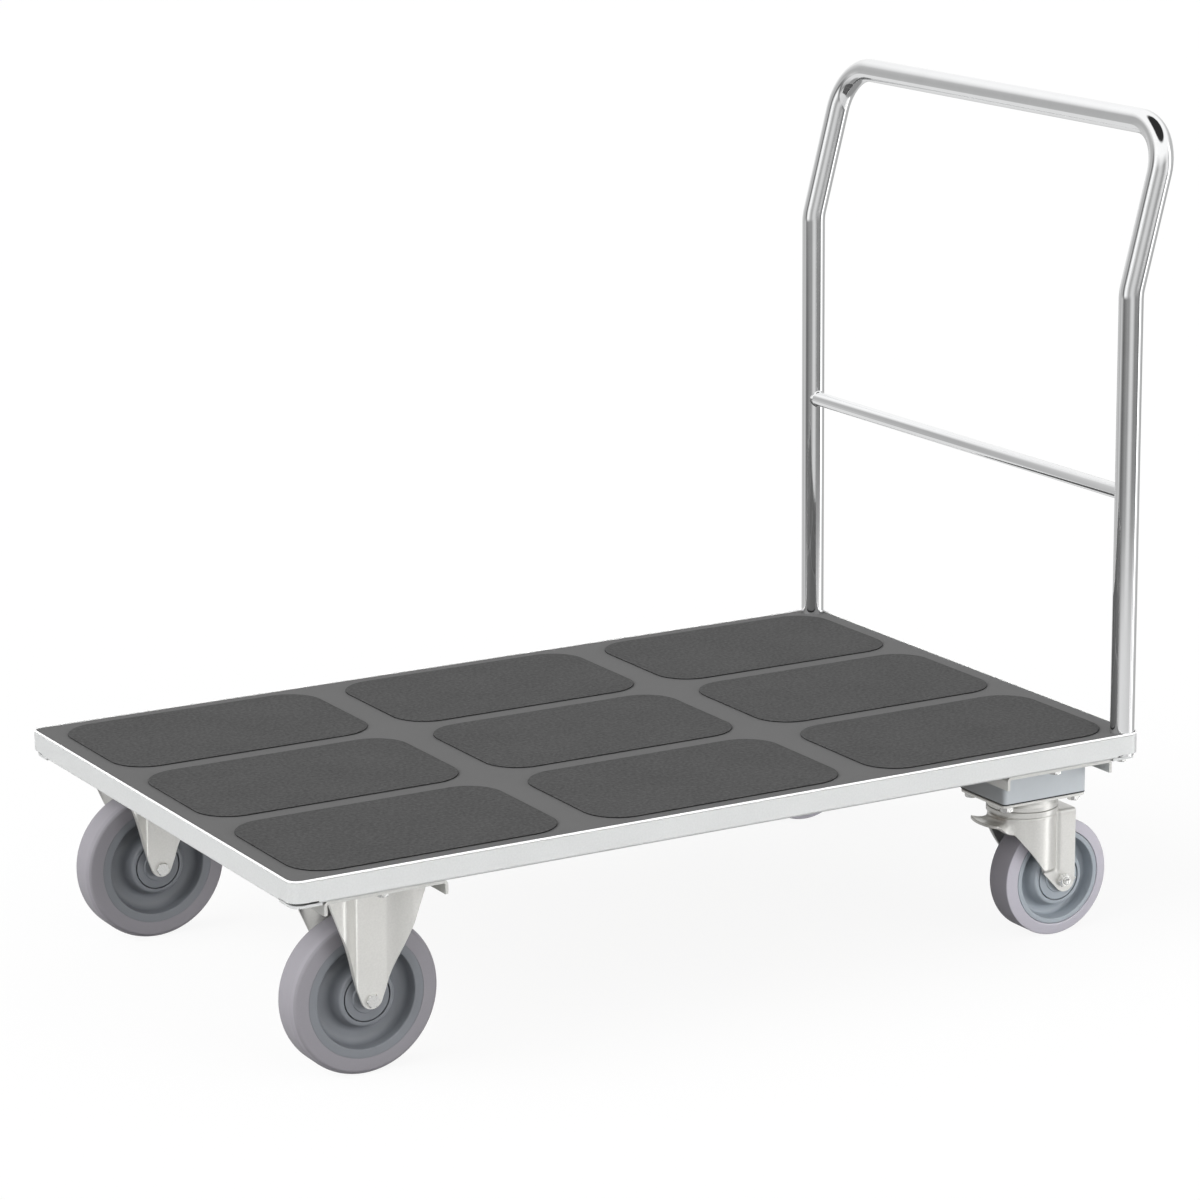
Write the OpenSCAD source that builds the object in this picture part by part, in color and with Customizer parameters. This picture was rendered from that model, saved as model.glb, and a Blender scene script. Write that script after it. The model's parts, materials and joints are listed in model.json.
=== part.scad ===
// Flat platform cart with a bent push handle, two fixed casters and two swivelling casters.
// X runs along the deck towards the handle, Y runs across it and Z stands up from the floor.
// The near side, on the left of a person pushing the cart, is at negative Y.

/* [Deck] */
// Length of the deck over its rim
deck_l = 1240; // [1100:10:1400]
// Width of the deck over its rim
deck_w = 790; // [720:10:900]
// Sheet thickness of the rim
rim_t = 2; // [1.5:0.25:3]
// Outside radius of the rim's corners, seen from above
rim_corner_r = 16; // [10:1:20]
// Width of the rim's bottom flange
rim_flange_w = 25; // [20:1:32]
// Outside radius of the rim's bottom bend, and height of the corner cuts
rim_bend_r = 4; // [3.5:0.5:6]
// Thickness of the board
board_t = 25; // [20:1:30]
// Thickness of the mat
mat_t = 3; // [2:0.5:6]
// Height of the rim's lip above the mat
lip_h = 2; // [1:0.5:5]
// Gap round the mat
mat_gap = 0.5; // [0.3:0.1:2]

/* [Grip panels] */
// Margin from the rim's face to the panels, along X
grip_margin_x = 27; // [20:1:60]
// Margin from the rim's face to the panels, along Y
grip_margin_y = 23; // [20:1:60]
// Gap between panels along X
grip_gap_x = 44; // [20:1:80]
// Gap between panels along Y
grip_gap_y = 28; // [15:1:60]
// Corner radius of the panels
grip_corner_r = 50; // [20:1:80]
// Height of the panels above the mat
grip_rise = 2.5; // [1:0.5:5]

/* [Handle] */
// Outside diameter of the handle tube
tube_d = 32; // [28:0.5:38]
// Wall of the handle tube
tube_wall = 2; // [1.5:0.25:3]
// Height of the handle's top above the floor
handle_h = 1092.5; // [1000:2.5:1200]
// Height of the bend where the handle starts to lean
bend_h = 867; // [800:1:920]
// Lean of the handle's top, in degrees
handle_lean = 15; // [5:1:25]
// Centreline radius of the leaning bend
lean_r = 60; // [50:5:90]
// Centreline radius of the handle's two top corners
corner_r = 62; // [50:1:90]
// Diameter of the crossbar
crossbar_d = 20; // [14:1:26]
// Height of the crossbar's middle above the floor
crossbar_h = 602; // [450:1:750]
// Gap between the tube and the pieces that it passes
tube_gap = 0.3; // [0.2:0.1:1]
// Height of the spigot inside each end of the tube
spigot_h = 60; // [40:1:100]

/* [Channels] */
// Outside width of each caster channel
channel_w = 166; // [160:1:190]
// Depth of each caster channel
channel_h = 18; // [14:1:26]
// Sheet thickness of the channels
channel_t = 4; // [3:0.5:5]
// Outside radius of the channel's bends
channel_bend_r = 6; // [5:0.5:9]
// Distance from the rim's face to the ends of each channel
channel_inset = 4; // [2:1:15]
// Gap between each corner gusset and the channel beside it
channel_gap = 2.2; // [1:0.1:60]
// Distance from the deck's sides to the middle of the casters
caster_inset_y = 87.5; // [80:0.5:120]
// Lap of the corner gussets under the rim's bottom flange
gusset_lap = 6; // [4:0.5:12]
// Thickness of the corner gussets
gusset_t = 3.5; // [2:0.5:5]
// Distance from the rim's face to the gussets
gusset_inset = 4; // [3:1:6]

/* [Front wheels] */
// Diameter of the front wheels
front_wheel_d = 200; // [190:1:210]
// Thickness of the front tyres, along the radius
front_tyre_t = 22; // [18:0.5:24]
// Width of the front tread
front_tread_w = 32; // [26:1:40]
// Width of the front tyres at their shoulders
front_shoulder_w = 44; // [41:0.5:47]
// Depth of the front tyres' shoulders, along the radius
front_shoulder = 5; // [2:0.5:8]
// Thickness of the front wheel centres' rims, along the radius
front_centre_rim_t = 12; // [6:0.5:14]
// Height from the top of the front wheel to the top of its caster
front_head_room = 47.5; // [44:0.5:60]

/* [Rear wheels] */
// Diameter of the rear wheels
rear_wheel_d = 160; // [150:1:170]
// Thickness of the rear tyres, along the radius
rear_tyre_t = 16; // [12:0.5:18]
// Width of the rear tread
rear_tread_w = 37.5; // [30:0.5:38]
// Width of the rear tyres at their shoulders
rear_shoulder_w = 39; // [38.5:0.5:46]
// Depth of the rear tyres' shoulders, along the radius
rear_shoulder = 1; // [0.5:0.5:4]
// Thickness of the rear wheel centres' rims, along the radius
rear_centre_rim_t = 6; // [4:0.5:8]
// Height from the top of the rear wheel to the top of its caster
rear_head_room = 41.5; // [40:0.5:50]
// Distance from the swivel axis back to the rear axle
rear_trail = 42.5; // [38:0.5:46]

/* [Wheel bodies] */
// Width of the tyres where they meet the wheel centres
tyre_base_w = 48; // [44:1:50]
// Width of the wheel centres' rims
centre_rim_w = 46; // [42:1:48]
// Width of the wheel centres' webs
centre_web_w = 14; // [10:1:20]
// Width of the sloping sides of the dish between hub and rim
dish_slope = 4; // [2:0.5:5]
// Bevel on the edges of the hubs and rims
centre_bevel = 2; // [0.5:0.5:3]
// Radius of the hubs
hub_r = 36; // [34:0.5:38]
// Width of the hubs
hub_w = 50; // [46:0.5:52]
// Radius of the hub covers
cover_r = 28; // [24:0.5:31]
// Thickness of the hub covers
cover_t = 2; // [1:0.25:3]
// Diameter of the axles
axle_d = 10; // [8:0.5:12]
// Outside diameter of the sleeves that the wheels turn on
sleeve_d = 20; // [18:0.5:24]
// Running clearance of the wheels on their sleeves, along the radius
running_gap = 0.06; // [0.03:0.01:0.1]

/* [Casters] */
// Length of the fixed casters' plates
plate_l = 135; // [130:1:140]
// Width of the fixed casters' plates
plate_w = 110; // [106:1:116]
// Sheet thickness of the forks and the fixed plates
fork_t = 4; // [3:0.5:5]
// Outside width of the swivel fork's tips, over the axle
fork_tip_w = 62; // [60:0.5:66]
// Outside width of the fixed fork's tips and of the middle panels above them
fixed_tip_w = 72; // [68:0.5:76]
// Radius of the fixed fork's tips
fixed_tip_r = 14.5; // [13:0.5:18]
// Width of the fixed fork's legs at the plate
fixed_leg_w = 133; // [110:1:134]
// Width of the middle panels of the fixed fork, which are set in from its side panels
fixed_panel_w = 46; // [40:1:56]
// Width of the folds between a middle panel and its side panels
fixed_fold_w = 15; // [12:1:20]
// Distance between the fixed plate's bolts along X
fixed_pitch_x = 80; // [60:1:90]
// Distance between the fixed plate's bolts along Y
fixed_pitch_y = 44; // [36:1:50]
// Length of the swivel casters' top plates
swivel_plate_l = 132; // [128:1:138]
// Width of the swivel casters' top plates
swivel_plate_w = 100; // [98:1:104]
// Thickness of the swivel casters' top plates
swivel_plate_t = 4; // [3.5:0.5:6]
// Distance between the swivel plate's bolts along X
swivel_pitch_x = 108; // [100:1:110]
// Distance between the swivel plate's bolts along Y
swivel_pitch_y = 80; // [76:1:84]
// Corner radius of the swivel casters' top plates
plate_corner_r = 6; // [3:0.5:12]
// Length of the spacer blocks
block_l = 132; // [126:1:140]
// Width of the spacer blocks
block_w = 104; // [96:1:112]
// Corner radius of the spacer blocks
block_corner_r = 5; // [2:0.5:10]
// Radius of the swivel head's upper half
head_r = 47; // [44:0.5:48]
// Radius of the swivel head's lower half
crown_r = 48; // [44:0.5:50]
// Height of the swivel head's lower half
crown_h = 11.5; // [10:0.5:12.5]
// Depth of the balls' middle below the top plate
ball_drop = 14; // [12:0.5:15]
// Radius of the ring of balls in the swivel head
ball_ring_r = 35; // [32:0.5:37]
// Diameter of the balls
ball_d = 8; // [6:0.5:9]
// Number of balls in each swivel head
ball_count = 22; // [16:1:24]
// Diameter of the kingpins
kingpin_d = 16; // [12:0.5:20]
// Width across the flats of the kingpins' nuts
kingpin_af = 24; // [22:0.5:28]
// Height of the kingpins' nuts
kingpin_nut_h = 9; // [6:0.5:10]
// Radius of the swivel fork's bulging sides, round the swivel axis
fork_wall_r = 46; // [44:0.5:47]
// Outside width of the swivel fork over its rear panels
swivel_leg_w = 71; // [68:0.5:74]
// Radius of the swivel fork's tips
swivel_tip_r = 19; // [16:0.5:22]
// Distance from the swivel axis to the front edges of the swivel fork's legs
leg_front = 34; // [30:0.5:38]
// Height of the upright front edges of the swivel fork's legs
leg_front_h = 18; // [12:0.5:24]
// Distance from the swivel axis back to the knees in the swivel fork's front edges
knee_back = 12; // [8:0.5:18]
// Height of those knees above the rear axle
knee_rise = 21; // [20:0.5:26]
// Radius of the swivel fork's front lip, round the swivel axis
lip_r = 67; // [60:0.5:72]
// Width of the swivel fork's front lip
lip_w = 62; // [56:1:66]
// Gap between parts that turn past each other
turning_gap = 0.5; // [0.3:0.1:1]

/* [Fasteners] */
// Shank diameter of the caster bolts
bolt_d = 10; // [8:0.5:12]
// Width across the flats of the bolt heads
bolt_af = 17; // [15:0.5:18]
// Height of the bolt heads
bolt_head_h = 6.4; // [5:0.2:8]
// Gap round the bolts' shanks, along the radius
bolt_gap = 0.5; // [0.2:0.1:1]
// Depth that the bolts reach into the board
bolt_grip = 18; // [12:1:20]
// Distance from the rim's face to the channel screws
screw_inset = 16.5; // [14:0.5:18]
// Shank diameter of the channel screws and the handle bolts
screw_d = 10; // [6:0.5:10]
// Width across the flats of the channel screws and the handle bolts
screw_af = 16; // [13:0.5:17]
// Height of the heads of the channel screws and the handle bolts
screw_head_h = 5.5; // [4:0.1:6.5]
// Width across the flats of the axles' heads and nuts
nut_af = 17; // [15:0.5:19]
// Height of the axle nuts
nut_h = 9; // [7:0.5:11]
// Height of the axle heads
axle_head_h = 6; // [5:0.5:9]
// Length of thread that shows past each axle nut
thread_end = 2.5; // [1:0.5:5]

/* [Hidden] */
$fn = 48;
// Overrun that keeps cuts and joined solids clean
eps = 0.5;
// Overlap between the bent panels of one pressing
lap = 1;
// Bond line between pieces that are glued or pressed together
bond = 0.05;
// Gap round the hub covers
cover_gap = 0.2;
// Depth of the bolts' holes past the ends of the bolts
hole_spare = 1;
// Height of the spigots past the ends of the handle bolts
spigot_spare = 10;
// Room between the handle's tube and the rim's bottom flange
relief_room = 2;

// Heights
front_plate_z = front_wheel_d + front_head_room;
rear_plate_z = rear_wheel_d + rear_head_room;
rim_z = front_plate_z + channel_t;
rim_h = rim_t + board_t + mat_t + lip_h;
board_z = rim_z + rim_t;
mat_z = board_z + board_t;
grip_z = mat_z + mat_t;
bolt_top_z = board_z + bolt_grip;

// Grip panels
grip_l = (deck_l - 2 * grip_margin_x - 2 * grip_gap_x) / 3;
grip_w = (deck_w - 2 * grip_margin_y - 2 * grip_gap_y) / 3;

// Handle
tube_id = tube_d - 2 * tube_wall;
handle_x = deck_l / 2 - rim_t - tube_gap - tube_d / 2;
handle_y = deck_w / 2 - rim_t - tube_gap - tube_d / 2;
lean_cut = lean_r * tan(handle_lean / 2);
top_run = (handle_h - tube_d / 2 - bend_h) / cos(handle_lean);
handle_reach = handle_x + top_run * sin(handle_lean) + tube_d / 2;
relief_l = rim_t + tube_gap + tube_d + relief_room;
gusset_l = relief_l + gusset_lap - gusset_inset;
tube_sides = 24;
lean_steps = 3;
corner_steps = 8;
// The origin lies under the middle of the whole cart, the leaning handle included
deck_x = (deck_l / 2 - handle_reach) / 2;

// Wheels
front_rim_r = front_wheel_d / 2 - front_tyre_t;
rear_rim_r = rear_wheel_d / 2 - rear_tyre_t;

// Casters
caster_x = deck_l / 2 - gusset_inset - gusset_l - channel_gap - channel_w / 2;
caster_y = deck_w / 2 - caster_inset_y;
block_h = front_plate_z - rear_plate_z;
fixed_leg_top = front_plate_z - fork_t;
fixed_inner = fixed_tip_w / 2 - fork_t;
fork_inner = fork_tip_w / 2 - fork_t;
swivel_top = rear_plate_z - swivel_plate_t;
ball_z = swivel_top - ball_drop;
crown_top = ball_z - turning_gap / 2;
crown_z = crown_top - crown_h;
kingpin_z = crown_z - turning_gap - kingpin_nut_h;

SIDES = ["left", "right"];
PLACES = ["front", "middle", "rear"];
ROWS = ["left", "middle", "right"];

function side_sign(side) = side == "left" ? -1 : 1;
function end_sign(end) = end == "front" ? -1 : 1;
function bolt_places(pitch_x, pitch_y) =
    [for (x = [-1, 1], y = [-1, 1]) [x * pitch_x / 2, y * pitch_y / 2]];

// Rectangle with round corners, seen from above
module round_rect(l, w, r) {
    square([l - 2 * r, w], center = true);
    square([l, w - 2 * r], center = true);
    for (x = [-1, 1], y = [-1, 1]) translate([x * (l / 2 - r), y * (w / 2 - r)]) circle(r);
}

// Places its children at the middle of each caster's plate, on the floor
module at_caster(end, side) {
    translate([deck_x + end_sign(end) * caster_x, side_sign(side) * caster_y, 0]) children();
}

module at_all_casters(end) {
    for (side = SIDES) at_caster(end, side) children();
}

module at_deck() {
    translate([deck_x, 0, 0]) children();
}

// Places its children on a horizontal axis that runs along Y at a given height
module on_axle(x, z) {
    translate([x, 0, z]) rotate([90, 0, 0]) children();
}

module hex_head(af, h) {
    cylinder(d = af / cos(30), h = h, $fn = 6);
}

// Bolt that stands up from its head, whose top face is at height 0
module bolt(d, length, af, head_h) {
    cylinder(d = d, h = length);
    translate([0, 0, -head_h]) hex_head(af, head_h);
}

module bolt_holes(places, z, h) {
    for (p = places) translate([p[0], p[1], z]) cylinder(d = bolt_d + 2 * bolt_gap, h = h);
}

// Holes for all the bolts and screws that go up through the channels into the deck
module deck_bolt_holes(z, h) {
    at_all_casters("front") bolt_holes(bolt_places(fixed_pitch_x, fixed_pitch_y), z, h);
    at_all_casters("rear") bolt_holes(bolt_places(swivel_pitch_x, swivel_pitch_y), z, h);
    screw_places() translate([0, 0, z]) cylinder(d = screw_d + 2 * bolt_gap, h = h);
}

module screw_places() {
    at_deck() for (x = [-1, 1], y = [-1, 1])
        translate([x * caster_x, y * (deck_w / 2 - screw_inset), 0]) children();
}

// Deck

// Bent lower edge of the rim along one straight side, with the outer face at y = 0
module rim_edge(length) {
    rotate([90, 0, 90]) linear_extrude(length, center = true) {
        translate([rim_bend_r, rim_bend_r]) intersection() {
            difference() {
                circle(rim_bend_r);
                circle(rim_bend_r - rim_t);
            }
            translate([-rim_bend_r, -rim_bend_r]) square(rim_bend_r);
        }
        translate([rim_bend_r, 0]) square([rim_flange_w - rim_bend_r, rim_t]);
    }
}

module deck_rim() color("gainsboro") difference() {
    at_deck() translate([0, 0, rim_z]) {
        translate([0, 0, rim_bend_r]) linear_extrude(rim_h - rim_bend_r) difference() {
            round_rect(deck_l, deck_w, rim_corner_r);
            round_rect(deck_l - 2 * rim_t, deck_w - 2 * rim_t, rim_corner_r - rim_t);
        }
        for (turn = [0, 180]) {
            rotate(turn) translate([0, -deck_w / 2, 0]) rim_edge(deck_l - 2 * relief_l);
            rotate(turn + 90) translate([0, -deck_l / 2, 0]) rim_edge(deck_w - 2 * relief_l);
        }
    }
    screw_places() translate([0, 0, rim_z - eps])
        cylinder(d = screw_d + 2 * bolt_gap, h = rim_t + 2 * eps);
}

// Corner notches that let the handle's tube through, open towards the rim
module tube_notches() {
    for (side = SIDES) translate([handle_x, side_sign(side) * handle_y]) {
        circle(d = tube_d + 2 * tube_gap);
        translate([0, side == "left" ? -tube_d : 0]) square(tube_d);
    }
}

module deck_board() color("burlywood") difference() {
    at_deck() translate([0, 0, board_z]) linear_extrude(board_t) difference() {
        round_rect(deck_l - 2 * rim_bend_r, deck_w - 2 * rim_bend_r, rim_corner_r - rim_bend_r);
        tube_notches();
    }
    deck_bolt_holes(board_z - eps, bolt_grip + eps);
}

module deck_mat() color("dimgray") {
    edge = rim_t + mat_gap;
    at_deck() translate([0, 0, mat_z]) linear_extrude(mat_t) difference() {
        round_rect(deck_l - 2 * edge, deck_w - 2 * edge, rim_corner_r - edge);
        tube_notches();
    }
}

module grip_panel(column, row) color("darkslategray")
    at_deck() translate([column * (grip_l + grip_gap_x), row * (grip_w + grip_gap_y), grip_z])
        linear_extrude(grip_rise) round_rect(grip_l, grip_w, grip_corner_r);

// Plate under a corner of the rim; the rear ones carry the spigots that the handle stands on
module corner_gusset(end, side) color("silver") {
    round_r = rim_corner_r - gusset_inset;
    corner_x = deck_l / 2 - gusset_inset;
    corner_y = deck_w / 2 - gusset_inset;
    at_deck() difference() {
        union() {
            translate([end_sign(end) * corner_x, side_sign(side) * corner_y, rim_z - gusset_t])
                mirror([end == "front" ? 1 : 0, 0, 0]) mirror([0, side == "left" ? 1 : 0, 0])
                    linear_extrude(gusset_t) translate([-gusset_l, -gusset_l]) {
                        square([gusset_l - round_r, gusset_l]);
                        square([gusset_l, gusset_l - round_r]);
                        translate([gusset_l - round_r, gusset_l - round_r]) circle(round_r);
                    }
            if (end == "rear") translate([handle_x, side_sign(side) * handle_y, rim_z - eps])
                cylinder(d = tube_id - 2 * tube_gap, h = spigot_h + eps);
        }
        if (end == "rear") translate([handle_x, side_sign(side) * handle_y, rim_z - gusset_t - eps])
            cylinder(d = screw_d + 2 * bolt_gap, h = gusset_t + spigot_h + 2 * eps);
    }
}

// Channels that carry the casters

module channel_outline(w, h, r) {
    translate([-w / 2, -h]) square([w, h - r]);
    translate([r - w / 2, -r]) square([w - 2 * r, r]);
    for (x = [-1, 1]) translate([x * (w / 2 - r), -r]) circle(r);
}

module channel(end) color("whitesmoke") difference() {
    at_deck() translate([end_sign(end) * caster_x, 0, rim_z]) rotate([90, 0, 0])
        linear_extrude(deck_w - 2 * channel_inset, center = true) difference() {
            channel_outline(channel_w, channel_h, channel_bend_r);
            translate([0, -channel_t])
                channel_outline(channel_w - 2 * channel_t, channel_h, channel_bend_r - channel_t);
        }
    deck_bolt_holes(rim_z - channel_t - eps, channel_t + 2 * eps);
}

module channel_screws() color("silver")
    screw_places() translate([0, 0, rim_z - channel_t])
        bolt(screw_d, channel_t + rim_t + bolt_grip - hole_spare, screw_af, screw_head_h);

// Handle

// Each station of the bent tube is its centre, its direction and its normal in the plane of X and Z.
// The tube climbs the left upright, leans back, crosses over the top and comes down on the right.
function lean_station(side, angle) = [
    [handle_x + lean_r * (1 - cos(angle)), side * handle_y, bend_h - lean_cut + lean_r * sin(angle)],
    -side * lean_way(angle), [cos(angle), 0, -sin(angle)],
];
function lean_way(angle) = [sin(angle), 0, cos(angle)];
function corner_station(side, angle) = [
    [handle_x, side * (handle_y - corner_r + corner_r * cos(angle)), bend_h]
        + (top_run - corner_r + corner_r * sin(angle)) * lean_way(handle_lean),
    -side * cos(angle) * lean_way(handle_lean) + [0, sin(angle), 0],
    [cos(handle_lean), 0, -sin(handle_lean)],
];
tube_stations = [
    [[handle_x, -handle_y, rim_z], [0, 0, 1], [1, 0, 0]],
    for (i = [0:lean_steps]) lean_station(-1, handle_lean * i / lean_steps),
    for (i = [0:corner_steps]) corner_station(-1, 90 * i / corner_steps),
    for (i = [0:corner_steps]) corner_station(1, 90 - 90 * i / corner_steps),
    for (i = [0:lean_steps]) lean_station(1, handle_lean * (1 - i / lean_steps)),
    [[handle_x, handle_y, rim_z], [0, 0, -1], [1, 0, 0]],
];

function ring(station, r) = [
    for (i = [0:tube_sides - 1]) let (a = 360 * i / tube_sides)
        station[0] + r * (cos(a) * station[2] + sin(a) * cross(station[1], station[2])),
];

// One bent tube, open at both ends, as an outer and an inner skin
module handle_tube() color("lightgray") at_deck() {
    last = len(tube_stations) - 1;
    skin = (last + 1) * tube_sides;
    points = [for (r = [tube_d / 2, tube_id / 2], s = tube_stations) each ring(s, r)];
    faces = [
        for (i = [0:tube_sides - 1]) let (j = (i + 1) % tube_sides, end = last * tube_sides) each [
            for (k = [0:last - 1]) let (a = k * tube_sides, b = a + tube_sides) each [
                [a + i, b + i, b + j, a + j],
                [skin + a + j, skin + b + j, skin + b + i, skin + a + i],
            ],
            [i, j, skin + j, skin + i],
            [end + j, end + i, skin + end + i, skin + end + j],
        ],
    ];
    polyhedron(points, faces);
}

// Crossbar with its ends hollowed to fit the two upright tubes
module handle_crossbar() color("lightgray") at_deck() difference() {
    translate([handle_x, -handle_y, crossbar_h]) rotate([-90, 0, 0])
        cylinder(d = crossbar_d, h = 2 * handle_y);
    for (side = SIDES) translate([handle_x, side_sign(side) * handle_y, crossbar_h - crossbar_d])
        cylinder(d = tube_d + 2 * bond, h = 2 * crossbar_d);
}

module handle_bolts() color("silver")
    at_deck() for (side = SIDES) translate([handle_x, side_sign(side) * handle_y, rim_z - gusset_t])
        bolt(screw_d, gusset_t + spigot_h - spigot_spare, screw_af, screw_head_h);

// Wheels, which turn about Y

// Ring of half width given by a list of radius and half-width pairs, mirrored about the wheel's middle
module wheel_ring(half) {
    rotate_extrude() polygon(concat(half, [for (i = [len(half) - 1:-1:0]) [half[i][0], -half[i][1]]]));
}

module tyre(d, tyre_t, tread_w, shoulder_w, shoulder) color("lightslategray")
    wheel_ring([
        [d / 2 - tyre_t + bond, tyre_base_w / 2],
        [d / 2 - shoulder, shoulder_w / 2],
        [d / 2, tread_w / 2],
    ]);

// Moulded centre with a hub, a dished web and the rim that carries the tyre
module wheel_centre(rim_r, dish_r) color("slategray") {
    difference() {
        wheel_ring([
            [sleeve_d / 2 + running_gap, hub_w / 2],
            [hub_r - centre_bevel, hub_w / 2],
            [hub_r, hub_w / 2 - centre_bevel],
            [hub_r + dish_slope, centre_web_w / 2],
            [dish_r - dish_slope, centre_web_w / 2],
            [dish_r, centre_rim_w / 2 - centre_bevel],
            [dish_r + centre_bevel, centre_rim_w / 2],
            [rim_r, centre_rim_w / 2],
        ]);
        for (z = [-hub_w / 2 - eps, hub_w / 2 - cover_t]) translate([0, 0, z])
            cylinder(r = cover_r + cover_gap, h = cover_t + eps);
    }
}

module hub_covers() color("slategray")
    for (z = [-hub_w / 2, hub_w / 2 - cover_t]) translate([0, 0, z]) difference() {
        cylinder(r = cover_r, h = cover_t);
        translate([0, 0, -eps]) cylinder(d = sleeve_d + 2 * turning_gap, h = cover_t + 2 * eps);
    }

// Sleeve between the fork's legs that the wheel turns on
module axle_sleeve(inner) color("silver") difference() {
    cylinder(d = sleeve_d, h = 2 * (inner - bond), center = true);
    cylinder(d = axle_d + 2 * bond, h = 2 * inner + eps, center = true);
}

module axle_nut() color("silver") difference() {
    hex_head(nut_af, nut_h);
    translate([0, 0, -eps]) cylinder(d = axle_d + 2 * bond, h = nut_h + 2 * eps);
}

module axle_hole(x, z) {
    on_axle(x, z) cylinder(d = axle_d + 2 * bond, h = 2 * plate_w, center = true);
}

// Fixed front casters

// Outline of a fixed fork's leg, seen along Y: a straight taper that ends round the axle
module fixed_leg_outline() {
    corner = [fixed_leg_w / 2, fixed_leg_top - front_wheel_d / 2];
    turn = atan2(corner[1], corner[0]) - acos(fixed_tip_r / norm(corner));
    foot = fixed_tip_r * [cos(turn), sin(turn)];
    translate([0, front_wheel_d / 2]) {
        circle(fixed_tip_r);
        polygon([
            [-foot[0], foot[1]], foot, corner, [corner[0], corner[1] + lap],
            [-corner[0], corner[1] + lap], [-corner[0], corner[1]],
        ]);
    }
}

// One leg of the fixed fork, at positive Y: side panels below the plate's edge and a middle panel set in
module fixed_leg() {
    edge_y = plate_w / 2;
    tip_y = fixed_tip_w / 2;
    fold_in = fixed_panel_w / 2;
    fold_out = fold_in + fixed_fold_w;
    shift = fork_t * (norm([fixed_fold_w, edge_y - tip_y]) - fixed_fold_w) / (edge_y - tip_y);
    half = [
        [fold_in, tip_y], [fold_out, edge_y], [fixed_leg_w, edge_y], [fixed_leg_w, edge_y - fork_t],
        [fold_out + shift, edge_y - fork_t], [fold_in + shift, tip_y - fork_t],
    ];
    intersection() {
        linear_extrude(fixed_leg_top + lap)
            polygon(concat(half, [for (i = [len(half) - 1:-1:0]) [-half[i][0], half[i][1]]]));
        rotate([90, 0, 0]) linear_extrude(2 * plate_w, center = true) fixed_leg_outline();
    }
}

module fixed_fork() color("lightgray") difference() {
    union() {
        translate([-plate_l / 2, -plate_w / 2, fixed_leg_top]) cube([plate_l, plate_w, fork_t]);
        fixed_leg();
        mirror([0, 1, 0]) fixed_leg();
    }
    axle_hole(0, front_wheel_d / 2);
    bolt_holes(bolt_places(fixed_pitch_x, fixed_pitch_y), fixed_leg_top - eps, fork_t + 2 * eps);
}

module fixed_plate_bolts() color("silver") at_all_casters("front")
    for (p = bolt_places(fixed_pitch_x, fixed_pitch_y)) translate([p[0], p[1], fixed_leg_top])
        bolt(bolt_d, bolt_top_z - fixed_leg_top - hole_spare, bolt_af, bolt_head_h);

// Axle with its head on the near side
module front_axle() color("silver") on_axle(0, front_wheel_d / 2) {
    translate([0, 0, fixed_tip_w / 2]) hex_head(nut_af, axle_head_h);
    translate([0, 0, -fixed_tip_w / 2 - nut_h - thread_end])
        cylinder(d = axle_d, h = fixed_tip_w + nut_h + thread_end + eps);
}

module front_axle_nuts() at_all_casters("front") on_axle(0, front_wheel_d / 2)
    translate([0, 0, -fixed_tip_w / 2 - nut_h]) axle_nut();

// Swivelling rear casters

module spacer_block() color("lightsteelblue") difference() {
    translate([0, 0, rear_plate_z]) linear_extrude(block_h) round_rect(block_l, block_w, block_corner_r);
    bolt_holes(bolt_places(swivel_pitch_x, swivel_pitch_y), rear_plate_z - eps, block_h + 2 * eps);
}

module ball_groove() {
    translate([0, 0, ball_z]) rotate_extrude() translate([ball_ring_r, 0]) circle(d = ball_d + turning_gap);
}

// Top plate with the fixed half of the swivel head below it
module swivel_plate() color("lightgray") difference() {
    union() {
        translate([0, 0, swivel_top]) linear_extrude(swivel_plate_t)
            round_rect(swivel_plate_l, swivel_plate_w, plate_corner_r);
        translate([0, 0, crown_top + turning_gap])
            cylinder(r = head_r, h = swivel_top - crown_top - turning_gap + eps);
    }
    bolt_holes(bolt_places(swivel_pitch_x, swivel_pitch_y), swivel_top - eps, swivel_plate_t + 2 * eps);
    translate([0, 0, crown_z]) cylinder(d = kingpin_d + 2 * bond, h = rear_plate_z);
    ball_groove();
}

module kingpin() color("silver") translate([0, 0, kingpin_z]) {
    cylinder(d = kingpin_d, h = rear_plate_z - kingpin_z);
    hex_head(kingpin_af, kingpin_nut_h);
}

module swivel_balls() color("silver")
    for (i = [0:ball_count - 1]) rotate(i * 360 / ball_count)
        translate([ball_ring_r, 0, ball_z]) sphere(d = ball_d);

// Outline of a swivel fork's leg in the plane of X and Z, with a knee in its front edge above the tip
module swivel_leg_outline() {
    axle_z = rear_wheel_d / 2;
    front = [-leg_front, crown_z - leg_front_h];
    knee = [knee_back, axle_z + knee_rise];
    reach = knee - [rear_trail, axle_z];
    touch = atan2(reach[1], reach[0]) + acos(swivel_tip_r / norm(reach));
    translate([rear_trail, axle_z]) circle(swivel_tip_r);
    polygon([
        front, [front[0], crown_z + fork_t], [rear_trail + swivel_tip_r, crown_z + fork_t],
        [rear_trail + swivel_tip_r, axle_z], [rear_trail, axle_z],
        [rear_trail + swivel_tip_r * cos(touch), axle_z + swivel_tip_r * sin(touch)],
        knee,
    ]);
}

// The leg's outline as a slab between two distances from the middle of the wheel
module leg_slab(low_y, high_y) {
    translate([0, high_y, 0]) rotate([90, 0, 0]) linear_extrude(high_y - low_y) swivel_leg_outline();
}

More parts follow.
